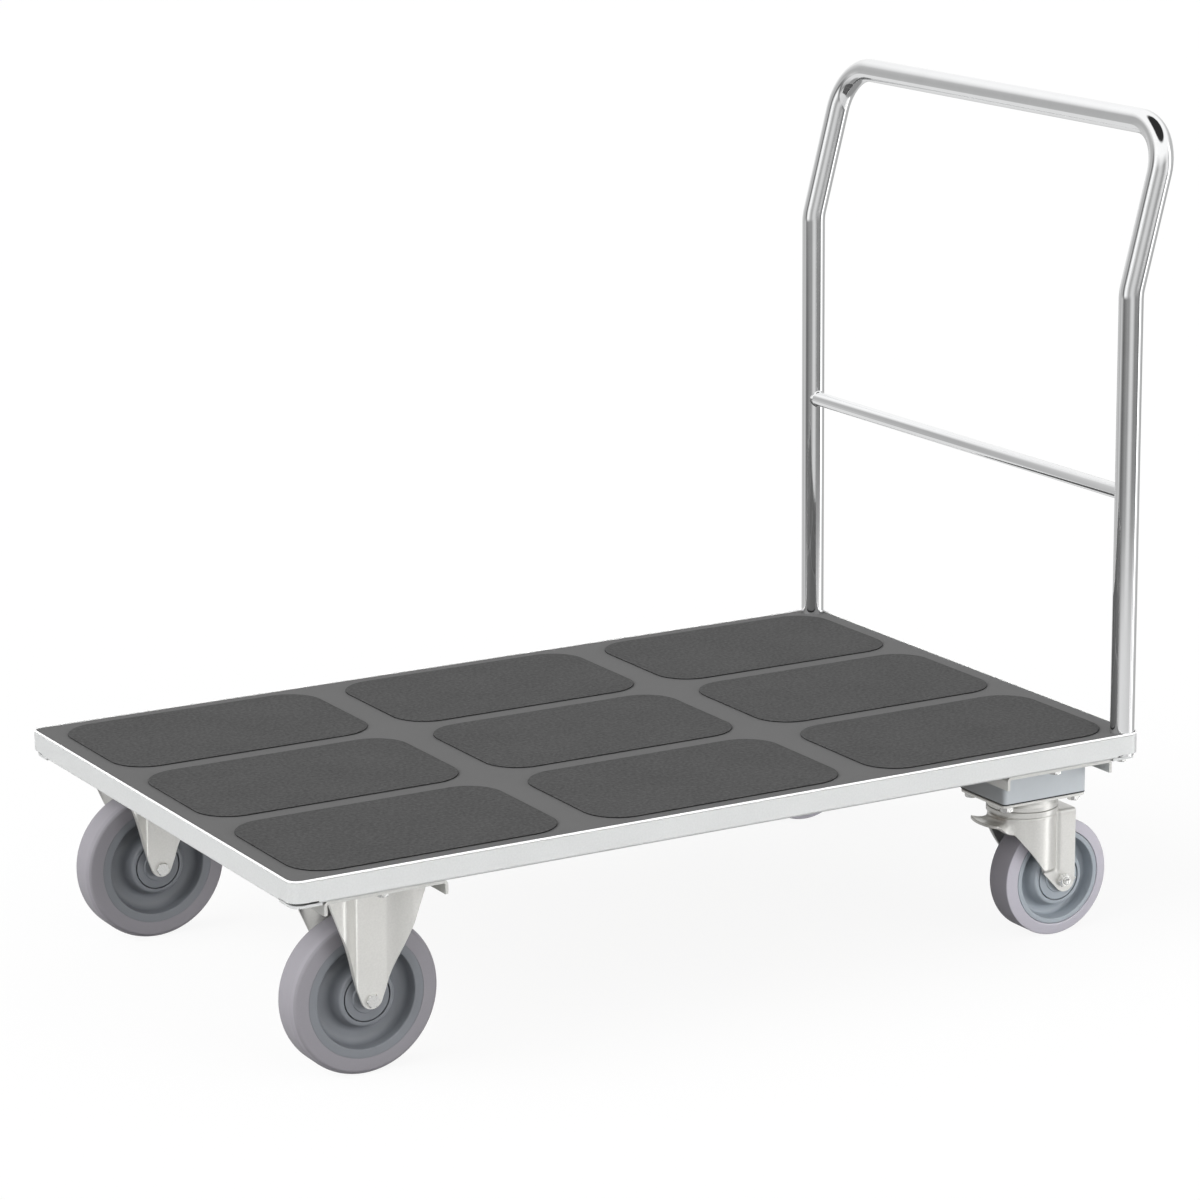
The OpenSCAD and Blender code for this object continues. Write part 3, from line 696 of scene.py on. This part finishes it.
def fixed_leg_rows():
    """Rows of (x, distance from the middle, height), from the tip up to the middle of the plate."""
    rows = []
    bend_z = fixed_plate_top - fixed_bend
    heights = [fixed_tip_z - fixed_tip * math.cos(math.radians(angle)) for angle in tip_angles]
    heights += [taper_start.y + (bend_z - taper_start.y) * k / leg_rows for k in range(leg_rows + 1)]
    for z in heights:
        across = [fixed_half_width(z) * k / leg_columns for k in range(-leg_columns, leg_columns + 1)]
        rows.append([(x, fixed_face(x, z), z) for x in across])
    last = rows[-1]
    for step in range(1, bend_steps + 1):
        angle = math.radians(90 * step / bend_steps)
        back = fixed_bend * (1 - math.cos(angle))
        rows.append([(x, off - back, bend_z + fixed_bend * math.sin(angle)) for x, off, _ in last])
    rows.append([(x, (off - fixed_bend) * 0.5, fixed_plate_top) for x, off, _ in last])
    return rows


fork_zinc = zinc("fork_zinc", (0.70, 0.695, 0.67), 0.305, 0.7)
for side in sides:
    axle = spin[f"front_wheel_{side}_spin"]
    fork = piece(f"fixed_fork_pressing_{side}", fork_zinc, "chassis", "fork_zinc", f"fixed_fork_{side}")
    leg = fixed_leg_rows()
    middle = [[(x, 0.0, z) for x, _, z in leg[-1]]]
    across = [[(x, -off, z) for x, off, z in row] for row in leg] + middle + leg[::-1]
    build = bmesh.new()
    points = [[Vector((axle.x + x, axle.y + y, z)) for x, y, z in row] for row in across]
    sheet(build, points, fork_sheet)
    close_up(fork, build, 40)

# Front axles: zinc-plated bolts through the fork tips, with a chamfered hexagonal head on the near side
# and a nut on the far side.
head_off = 43 * mm
head_neck = 1.4 * mm
nut_af = 17 * mm
head_af = 16 * mm
nut_height = 9 * mm
nut_chamfer = 1.3 * mm
axle_radius = 5 * mm
axle_end = 2.5 * mm
axle_end_round = 1 * mm


def lay_across(build, centre, fitting):
    """Adds a skin over a fitting's rows, made along Z, and lays it across a wheel with its top near."""
    first = len(build.verts)
    skin(build, fitting(build))
    build.verts.ensure_lookup_table()
    turn = Matrix.Translation(centre) @ Matrix.Rotation(math.radians(90), 4, "X")
    bmesh.ops.transform(build, matrix=turn, verts=build.verts[first:])


def axle_piece(name, centre, fitting, replaced, body):
    """A bolt or nut that lies across a wheel."""
    made = piece(name, fastener_zinc, body, "fastener_zinc", replaced)
    build = bmesh.new()
    lay_across(build, centre, fitting)
    return close_up(made, build)


def rod_end(build, end, inwards, edge):
    """Rows of one end of an axle along Z, from its face on, rounded over by an edge radius."""
    rows = []
    for angle in (0, 30, 60, 90) if edge else (90,):
        inset = edge * (1 - math.sin(math.radians(angle)))
        rise = edge * (1 - math.cos(math.radians(angle)))
        rows.append(round_row(build, Vector(), axle_radius - inset, end + inwards * rise))
    return rows


def front_bolt_rows(build):
    """A long bolt whose hexagonal head stands on the fork's face, with a rounded end on the far side."""
    head_foot = fixed_tip_off + head_neck
    shank = rod_end(build, -fixed_tip_off - nut_height - axle_end, 1, axle_end_round)
    shank += rod_end(build, head_foot, -1, 0)
    return shank + hex_rows(build, Vector(), head_af, head_foot, head_off, 0, nut_chamfer)


def front_nut_rows(build):
    """A nut with both ends turned to a cone."""
    foot = -fixed_tip_off - nut_height
    return hex_rows(build, Vector(), nut_af, foot, -fixed_tip_off, nut_chamfer, nut_chamfer)


for side in sides:
    axle = spin[f"front_wheel_{side}_spin"]
    axle_piece(f"front_axle_bolt_{side}", axle, front_bolt_rows, f"front_axle_{side}", "chassis")
front_nuts = piece("front_axle_nut_set", fastener_zinc, "chassis", "fastener_zinc", "front_axle_nuts")
build = bmesh.new()
for side in sides:
    lay_across(build, spin[f"front_wheel_{side}_spin"], front_nut_rows)
close_up(front_nuts, build)

# Front wheels: a band of grey rubber moulded on a blue-grey plastic centre. The centre has a deep round
# dish between its rim and its hub, and a flat cover pressed into the hub.
wheel_steps = 128


def lathe(build, centre, outline):
    """A closed ring turned about Y from a closed outline of (radius, width) points."""
    rows = []
    for k in range(wheel_steps):
        angle = 2 * math.pi * k / wheel_steps
        out = Vector((math.cos(angle), 0, math.sin(angle)))
        rows.append([build.verts.new(centre + out * r + Vector((0, w, 0))) for r, w in outline])
    for k, row in enumerate(rows):
        join_rows(build, row, rows[(k + 1) % wheel_steps])


def both_sides(half):
    """A closed outline from the corners of one half, in millimetres, and their mirror image."""
    corners = [(r * mm, w * mm, bend * mm) for r, w, bend in half]
    return rounded(corners + [(r, -w, bend) for r, w, bend in reversed(corners)])


def plastic(name, colour, roughness=0.42, painted_shade_below=-out_of_reach):
    """Moulded plastic: a fine grain, faint flow clouds, a low shine, and painted shade, near black, below a
    height.
    """
    made, shader, place = finish(name, Specular_IOR_Level=0.45)
    cloud = place.noise(18, 4)
    grain = place.noise(900, 2)
    feed(
        shader,
        Base_Color=place.axis(2)
        .rise(painted_shade_below, painted_shade_below + painted_shade_blend)
        .mix(shade(colour, 0.05), cloud.mix(shade(colour, 0.88), shade(colour, 1.12))),
        Roughness=roughness - 0.06 + grain * 0.12,
        Normal=grain.bump(0.15, 0.15 * mm),
    )
    return made


wheel_plastic = plastic("wheel_plastic", (0.156, 0.166, 0.182))
tyre_colour = (0.225, 0.217, 0.236)
tyre_grain = 0.8 * mm
tread_light_blend = 1 * mm


def tyre_rubber(name, colour, joint, tread_light_from, tread_light_factor):
    """Tyre rubber whose tread, beyond a radius from its joint, is painted to another shade of its colour as
    painted light.
    """
    made, shader, place, dusty = rubber(name, colour, tyre_grain, 0.05, 0.62, 0.1 * mm, 0.3)
    off_axle = [place.axis(k) - spin[joint][k] for k in (0, 2)]
    radius_squared = off_axle[0] * off_axle[0] + off_axle[1] * off_axle[1]
    tread_light = radius_squared.rise(tread_light_from**2, (tread_light_from + tread_light_blend) ** 2)
    feed(shader, Base_Color=tread_light.mix(dusty, shade(colour, tread_light_factor)))
    return made


# The front tread is painted 1.2 times lighter as a painted sheen.
front_rubber = tyre_rubber("front_tyre_rubber", tyre_colour, "front_wheel_left_spin", 96.5 * mm, 1.2)
front_tyre_half = [(78, 23.6, 0.3), (95, 22, 5), (100, 16, 5)]
front_rim_half = [(77.9, 23.4, 0.3), (66.6, 23, 1.5), (64.5, 3, 9)]
hub_half = [(44, 3, 9), (37, 24, 4), (31.6, 25, 0.3), (31.6, 18, 0.2), (10.1, 18, 0)]
cover_half = [
    (10.6, 18.1, 0.2), (29.9, 18.1, 0.2), (29.9, 24.9, 0.3),
    (20.3, 24.9, 0.2), (19.4, 27, 0.6), (10.6, 27, 0.3),
]


def wheel(end, side, tyre_half, rim_half, rubber_finish, plastic_finish):
    """The tyre, the centre and the two hub covers of one wheel, each a turned skin."""
    body = f"{end}_wheel_{side}"
    axle = spin[f"{body}_spin"]
    tyre = piece(f"{end}_tyre_band_{side}", rubber_finish, body, f"{end}_tyre_rubber", f"{end}_tyre_{side}")
    build = bmesh.new()
    lathe(build, axle, both_sides(tyre_half))
    close_up(tyre, build, 45)
    centre = piece(
        f"{end}_wheel_moulding_{side}", plastic_finish, body, "wheel_plastic", f"{end}_wheel_centre_{side}"
    )
    build = bmesh.new()
    lathe(build, axle, both_sides((rim_half + hub_half)[::-1]))
    close_up(centre, build, 45)
    covers = piece(
        f"{end}_hub_cover_pair_{side}", plastic_finish, body, "wheel_plastic", f"{end}_hub_covers_{side}"
    )
    build = bmesh.new()
    for way in (-1, 1):
        corners = [(r * mm, way * w * mm, bend * mm) for r, w, bend in cover_half]
        lathe(build, axle, rounded(corners, 3))
    close_up(covers, build, 45)


for side in sides:
    wheel("front", side, front_tyre_half, front_rim_half, front_rubber, wheel_plastic)

# Spacer blocks: solid moulded blocks of blue-grey plastic, which bring the smaller rear wheels down to
# the floor. Their edges are rounded and their faces lightly grained. Their bottom 2.2 mm is painted near
# black as painted shade where they stand on the swivel plates.
# The block's bottom 2.2 mm is painted near black as painted shade where it stands on its plate.
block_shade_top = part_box("spacer_block_left")[0].z + 2.2 * mm
block_plastic = plastic("block_plastic", (0.47, 0.50, 0.525), 0.5, block_shade_top)
block_round = 1.5 * mm
block_corner = 6 * mm


def soft_slab(build, low, high, corner, edge, steps):
    """A slab between two opposite corners, with round upright edges and its other edges rounded over."""
    outlines = []
    for step in range(steps + 1):
        angle = math.radians(90 * step / steps)
        inset = edge * (1 - math.sin(angle))
        outline = nested_outline(low, high, corner, inset, 6)
        outlines.append((outline, low.z + edge * (1 - math.cos(angle))))
    for outline, height in outlines[::-1]:
        outlines.append((outline, high.z + low.z - height))
    stack(build, outlines)


for side in sides:
    node = f"spacer_block_{side}"
    block = piece(f"spacer_moulding_{side}", block_plastic, "chassis", "block_plastic", node)
    build = bmesh.new()
    soft_slab(build, *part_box(node), block_corner, block_round, 4)
    close_up(block, build, 40)

# Swivel plates: zinc-plated top plates with the fixed half of the swivel head turned up below them. Two
# fine ring lines show where the halves of the head run past each other.
plate_sheet = 4 * mm
plate_corner = 6 * mm
plate_round = 0.8 * mm
head_steps = 96
bearing_steel = zinc("bearing_steel", (0.62, 0.63, 0.65), 0.24, 0.95)
head_outline = [
    (8.1, 197.6, 0), (46, 197.6, 0), (45, 193, 2), (47, 189, 1.5), (47, 183.6, 0.8), (8.1, 183.6, 0),
]


def turned(build, axis, outline):
    """A closed ring turned about an upright axis from corners of (radius, height, bend) in millimetres."""
    points = rounded([(r * mm, z * mm, bend * mm) for r, z, bend in outline])
    rows = []
    for k in range(head_steps):
        angle = 2 * math.pi * k / head_steps
        out = Vector((math.cos(angle), math.sin(angle), 0))
        rows.append([build.verts.new(axis + out * r + Vector((0, 0, z))) for r, z in points])
    for k, row in enumerate(rows):
        join_rows(build, row, rows[(k + 1) % head_steps])


for side in sides:
    low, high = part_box(f"swivel_plate_{side}")
    turn_axis = spin[f"swivel_{side}_turn"]
    foot = Vector((turn_axis.x, turn_axis.y, 0))
    plate = piece(f"swivel_top_{side}", fork_zinc, "chassis", "fork_zinc", f"swivel_plate_{side}")
    build = bmesh.new()
    plate_low = Vector((low.x, low.y, high.z - plate_sheet))
    soft_slab(build, plate_low, high, plate_corner, plate_round, 3)
    turned(build, foot, head_outline)
    close_up(plate, build, 40)
    for node in ("kingpin", "swivel_balls"):
        frame["nodes"][f"{node}_{side}"].data.materials[0] = bearing_steel

# Swivel forks: one deep pressing of zinc-plated sheet round each rear wheel. Its sides bulge with the
# round head, its rear panels are flat, and its front flares into a lip. A step above the tips brings the
# sides in to the nut.
crown_outline = [(9, 183.1, 0), (48, 183.1, 0.8), (48, 175.4, 1.2), (38, 175.2, 0), (9, 175.2, 0)]
wall_radius = 46 * mm
wall_top = 171.5 * mm
crown_bend = 5 * mm
crown_reach = 26 * mm
crown_square = 33 * mm
wall_front = -34 * mm
wall_front_low = 152.5 * mm
front_fall = 1.329
low_corner = Vector((7, 98)) * mm
rear_fall = 1.087
tip_start = 34.9 * mm
tip_place = Vector((46.2, 78)) * mm
swivel_tip = 15.3 * mm
tip_off = 34.5 * mm
rear_edge = 61.5 * mm
rear_off = 35.5 * mm
panel_fold = 31 * mm, 37.5 * mm
step_start = Vector((30, 99)) * mm
step_fall = 0.65
step_slope = 5 * mm
lip_spread = 42.4
lip_corner = 0.62
lip_hollow = 4 * mm
lip_points = [
    (0, -67.5, 0, 168.3), (0.2, -66.7, 10.6, 168.3), (0.4, -64.2, 20.9, 168.3),
    (lip_corner, -60.1, 30.6, 168.3), (0.72, -54.3, 30.8, 164), (0.83, -48.3, 31, 158.5),
    (0.92, -42, 31, 154.5), (1, -34, 31, 152.5),
]
fork_rows = 46


def wall_low(x):
    """Height of the lower edge of a swivel fork's side."""
    if x < low_corner.x:
        return wall_front_low - (x - wall_front) * front_fall
    if x < tip_start:
        return low_corner.y - (x - low_corner.x) * rear_fall
    return tip_place.y - math.sqrt(max(swivel_tip**2 - (x - tip_place.x) ** 2, 0))


def wall_face(x, z):
    """Distance of a swivel fork's outer side face from the middle of its wheel."""
    bulge = math.sqrt(max(wall_radius**2 - x**2, 0.0))
    panel = smooth(x, *panel_fold)
    upper = bulge * (1 - panel) + rear_off * panel
    below_step = step_start.y - z - step_fall * max(0, x - step_start.x)
    return tip_off + (upper - tip_off) * (1 - smooth(below_step, 0, step_slope))


def through(table, place):
    """The number at a place on a smooth curve through (place, number) pairs."""
    for i in range(len(table) - 1):
        if place <= table[i + 1][0]:
            break
    before, start, end, after = (table[min(max(k, 0), len(table) - 1)] for k in range(i - 1, i + 3))
    span = end[0] - start[0]
    share = (place - start[0]) / span
    leave = (end[1] - before[1]) / (end[0] - before[0]) * span
    reach = (after[1] - start[1]) / (after[0] - start[0]) * span
    flip = 1 - share
    return (
        start[1] * (1 + 2 * share) * flip**2
        + end[1] * share**2 * (1 + 2 * flip)
        + leave * share * flip**2
        - reach * share**2 * flip
    )


def lip_point(share):
    """A point on the edge of the front lip, from the middle at 0 to the side wall at 1."""
    tables = [[(entry[0], entry[k]) for entry in lip_points] for k in (1, 2, 3)]
    return Vector([through(table, share) for table in tables]) * mm


def fork_column(place):
    """Points of one upright line of the fork: the crown inside, its bend, the wall and the lower edge."""
    kind, value = place
    shares = [k / fork_rows for k in range(fork_rows + 1)]
    reach = crown_reach
    if kind == "wall":
        off = wall_face(value, wall_top)
        top = Vector((value, off, wall_top))
        inward = Vector((-value, -off, 0)).normalized()
        if value > crown_square:
            inward = Vector((0, -1, 0))
            reach = off - crown_bend
        heights = [wall_top + (wall_low(value) - wall_top) * share for share in shares]
        wall = [Vector((value, wall_face(value, z), z)) for z in heights]
    else:
        angle = math.pi - value * math.radians(lip_spread)
        inward = Vector((-math.cos(angle), -math.sin(angle), 0))
        top = Vector((0, 0, wall_top)) - inward * wall_radius
        lip = lip_point(value)
        hollow = top.lerp(lip, 0.12)
        turn_down = smooth(value, lip_corner, 1)
        hollow.z = (lip.z - lip_hollow) * (1 - turn_down) + (lip.z + wall_top) / 2 * turn_down
        wall = [top * (1 - s) ** 2 + hollow * 2 * s * (1 - s) + lip * s**2 for s in shares]
    points = []
    for step in range(4, 0, -1):
        tilt = math.radians(90 * step / 4)
        up = Vector((0, 0, crown_bend * math.sin(tilt)))
        points.append(top + (inward * crown_bend * (1 - math.cos(tilt)) + up))
    points.insert(0, points[0] + inward * reach)
    return points + wall


def fork_places():
    """Where the near half of the fork has its columns, from the rear edge round to the front."""
    fold = [x * mm for x in range(38, 29, -1)]
    turns = [math.radians(9 * k) for k in range(10)]
    rear = [rear_edge - (rear_edge - fold[0]) * (1 - math.cos(turn)) for turn in turns]
    bulge = [fold[-1] + (wall_front - fold[-1]) * k / 26 for k in range(1, 27)]
    lip = [1 - k / 18 for k in range(1, 18)]
    return [("wall", x) for x in rear + fold + bulge] + [("lip", share) for share in lip]


for side in sides:
    turn_axis = spin[f"swivel_{side}_turn"]
    foot = Vector((turn_axis.x, turn_axis.y, 0))
    body = f"swivel_{side}"
    fork = piece(f"swivel_fork_pressing_{side}", fork_zinc, body, "fork_zinc", f"swivel_fork_{side}")
    far = [fork_column(place) for place in fork_places()]
    near = [[Vector((p.x, -p.y, p.z)) for p in column] for column in far]
    columns = near + [fork_column(("lip", 0))] + far[::-1]
    build = bmesh.new()
    sheet(build, [[foot + point for point in column] for column in columns], fork_sheet)
    turned(build, foot, crown_outline)
    close_up(fork, build, 40)

# Rear axles: zinc-plated bolts with a locking nut on the near side, whose round collar stands out of
# the hexagon, and the rounded end of the thread in it.
lock_nut_hex = 6 * mm
collar_half = [(7.6, 6), (7.6, 8.4), (7.2, 9), (6.2, 9), (5.8, 8.2)]
rear_head = 7 * mm


def lock_nut_rows(build):
    """A nut with a turned collar on its outer end."""
    hexagon = hex_rows(build, Vector(), nut_af, tip_off, tip_off + lock_nut_hex, nut_chamfer, nut_chamfer)
    return hexagon + [round_row(build, Vector(), r * mm, tip_off + h * mm) for r, h in collar_half]


def rear_bolt_rows(build):
    """A long bolt whose rounded end stands out of its nut, with its head on the far side."""
    head = hex_rows(build, Vector(), nut_af, -tip_off - rear_head, -tip_off, nut_chamfer, 0)
    shank_foot = rod_end(build, -tip_off, 1, 0)
    shank_end = rod_end(build, tip_off + nut_height + axle_end, -1, axle_end_round)
    return head + shank_foot + shank_end[::-1]


for side in sides:
    axle = spin[f"rear_wheel_{side}_spin"]
    body = f"swivel_{side}"
    axle_piece(f"rear_axle_bolt_{side}", axle, rear_bolt_rows, f"rear_axle_{side}", body)
    axle_piece(f"rear_lock_nut_{side}", axle, lock_nut_rows, f"rear_axle_nut_{side}", body)
    for end in ("front", "rear"):
        frame["nodes"][f"{end}_axle_sleeve_{side}"].data.materials[0] = bearing_steel

# Rear wheels: smaller wheels of the same make, with a flat tread, square shoulders and sides that cone
# out to a narrow rim. A dark groove parts the pale rubber from the centre.
rear_colour = (0.45, 0.435, 0.485)
# The rear tread is painted darker, at 0.68 of its colour, as painted shade under the deck.
rear_rubber = tyre_rubber("rear_tyre_rubber", rear_colour, "rear_wheel_left_spin", 79 * mm, 0.68)
pale_plastic = plastic("pale_wheel_plastic", (0.318, 0.352, 0.388))
rear_tyre_half = [(64.4, 24, 1.2), (79.2, 19.6, 0.6), (80, 18.8, 0.6)]
rear_rim_half = [(64, 23.2, 1.4), (57.5, 23.2, 1), (55.5, 3.5, 4.5)]
for side in sides:
    wheel("rear", side, rear_tyre_half, rear_rim_half, rear_rubber, pale_plastic)

# Studio: a white floor that the camera sees as plain paper with a faint shadow, under a white sky with a
# grey horizon. Mirror reflections see the horizon's panels and its bright strip, which band the chrome.
scene = bpy.context.scene
floor_width = 40
paper_tone = 0.24
paper_white = 0.905
shadow_tone = 0.08
sky = 1.05
sky_from = 0.33, 0.62
ceiling_hole = 0.03
hole_from = 0.84, 0.90
top_glow = 0.62
top_glow_from = 0.66, 0.8
side_glow_from = 0.2, 0.27
low_glow = [
    (-180, 0.3), (-120, 0.2), (-85, 0.15), (-60, 0.2), (-40, 0.3), (-20, 0.8), (0, 4.2), (15, 10.3),
    (30, 11.3), (45, 6.6), (60, 2.4), (90, 1.0), (125, 0.5), (180, 0.3),
]
side_glow = [
    (-180, 0.3), (-135, 0.8), (-90, 9.4), (-60, 3.4), (-25, 0.6), (20, 1.0), (60, 0.8), (110, 0.4),
    (180, 0.3),
]
floor_line = [(-180, 0.36), (-125, 0.36), (-110, 0.235), (110, 0.235), (140, 0.36), (180, 0.36)]
floor_tones = [
    (-180, 0.78), (-120, 0.78), (-100, 0.50), (-85, 0.30), (-75, 0.60), (-60, 0.78), (20, 0.66),
    (27, 0.64), (34, 1.05), (41, 1.3), (43, 0.22), (47, 0.22), (49, 2.3), (61, 2.3), (63, 0.75),
    (90, 0.45), (120, 0.50), (150, 0.70), (180, 0.78),
]
under_tone = 0.3
under_to = -0.78, -0.64
panels_from = -0.18, -0.04
horizon = [
    (-180, 0.60), (-165, 0.58), (-145, 0.46), (-129, 0.66), (-116, 0.36), (-104, 0.13), (-92, 0.17),
    (-81, 0.23), (-66, 0.30), (-52, 0.30), (-42, 0.50), (-33, 0.68), (-20, 0.70), (-12, 0.62), (-4, 0.42),
    (5, 0.25), (26, 0.25), (37, 0.21), (44, 0.16), (49, 0.16), (50, 1.8), (66, 1.8), (69, 0.72), (80, 0.64),
    (90, 0.46), (117, 0.40), (150, 0.48), (180, 0.60),
]
upper_panels = [
    (-180, 0.85), (-170, 0.68), (-158, 0.60), (-145, 0.45), (-132, 0.50), (-121, 0.20), (-113, 0.14),
    (-105, 0.75), (-98, 1.05), (-88, 1.05), (-80, 0.78), (-70, 0.55), (-62, 0.38), (-52, 0.50), (-42, 0.68),
    (-30, 0.70), (-18, 0.60), (-6, 0.36), (4, 0.36), (14, 0.60), (24, 0.85), (34, 0.85), (44, 0.50),
    (49, 0.50), (50, 1.8), (66, 1.8), (70, 0.60), (90, 0.50), (120, 0.60), (145, 1.0), (180, 0.85),
]


def ray_switch(tree, kind, otherwise, chosen):
    """A shader that is one thing to most rays and another to rays of one kind."""
    seen = Wire(tree.nodes.new("ShaderNodeLightPath").outputs[kind])
    return seen.node("MixShader", {0: seen, 1: otherwise, 2: chosen})


def round_about(bearing, tones):
    """A grey that follows the bearing, from (degrees, tone) pairs."""
    stops = [((turn + 180) / 360, (tone,) * 3) for turn, tone in tones]
    return bearing.node("ValToRGB", {0: bearing}, stops=stops)


bpy.ops.mesh.primitive_plane_add(size=floor_width)
floor = bpy.context.object
floor.name = "studio_floor"
floor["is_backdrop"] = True
paper = bpy.data.materials.new("studio_paper")
paper.use_nodes = True
floor.data.materials.append(paper)
tree = paper.node_tree
plain = tree.nodes["Principled BSDF"]
plain.inputs["Base Color"].default_value = (paper_tone, paper_tone, paper_tone, 1)
plain.inputs["Roughness"].default_value = 0.9
lit = Wire(plain.outputs[0])
white = lit.node("Emission", {"Color": (1, 1, 1, 1), "Strength": paper_white})
dimmed = lit.node("BsdfDiffuse", {"Color": (shadow_tone, shadow_tone, shadow_tone, 1)})
shown = ray_switch(tree, "Is Glossy Ray", lit, lit.node("BsdfTransparent"))
shown = ray_switch(tree, "Is Camera Ray", shown, lit.node("AddShader", {0: white, 1: dimmed}))
tree.links.new(shown.socket, tree.nodes["Material Output"].inputs["Surface"])

world = bpy.data.worlds.new("studio_room")
scene.world = world
world.use_nodes = True
tree = world.node_tree
way = Wire(tree.nodes.new("ShaderNodeTexCoord").outputs["Generated"])
x, y, z = (way.axis(k) for k in range(3))
bearing = x.math("ARCTAN2", x, 0 - y) * (0.5 / math.pi) + 0.5
panels = z.rise(*panels_from).mix(round_about(bearing, horizon), round_about(bearing, upper_panels))
above_floor = (z + round_about(bearing, floor_line)).rise(-0.02, 0.02)
tone = above_floor.mix(round_about(bearing, floor_tones), panels)
tone = z.rise(*under_to).mix((under_tone,) * 3, tone)
tone = z.rise(*sky_from, "LINEAR").mix(tone, (sky,) * 3)
tone = z.rise(*hole_from).mix(tone, (ceiling_hole,) * 3)
room = tone.node("Background", {"Color": tone})
glow = z.rise(*side_glow_from).mix(round_about(bearing, low_glow), round_about(bearing, side_glow))
glow = z.rise(*top_glow_from).mix(glow, (top_glow,) * 3)
soft = glow.node("Background", {"Color": glow})
blank = tone.node("Background", {"Color": (1, 1, 1, 1)})
shown = ray_switch(tree, "Is Glossy Ray", soft, room)
shown = ray_switch(tree, "Is Camera Ray", shown, blank)
tree.links.new(shown.socket, tree.nodes["World Output"].inputs["Surface"])

camera = bpy.data.objects.new("camera", bpy.data.cameras.new("camera"))
scene.collection.objects.link(camera)
scene.camera = camera
camera_place = Vector((-2.7273739, -4.7643497, 1.8336976))
yaw, pitch, roll = 0.5201, 0.2458, -0.0093
ahead = Vector((math.sin(yaw) * math.cos(pitch), math.cos(yaw) * math.cos(pitch), -math.sin(pitch)))
level = Vector((math.cos(yaw), -math.sin(yaw), 0))
above = level.cross(ahead)
rightward = level * math.cos(roll) + above * math.sin(roll)
upward = above * math.cos(roll) - level * math.sin(roll)
turn = Matrix((rightward, upward, -ahead)).transposed()
camera.matrix_world = Matrix.Translation(camera_place) @ turn.to_4x4()
camera.data.lens = 129.14
camera.data.sensor_width = 36
scene.view_settings.view_transform = "Standard"

low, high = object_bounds()
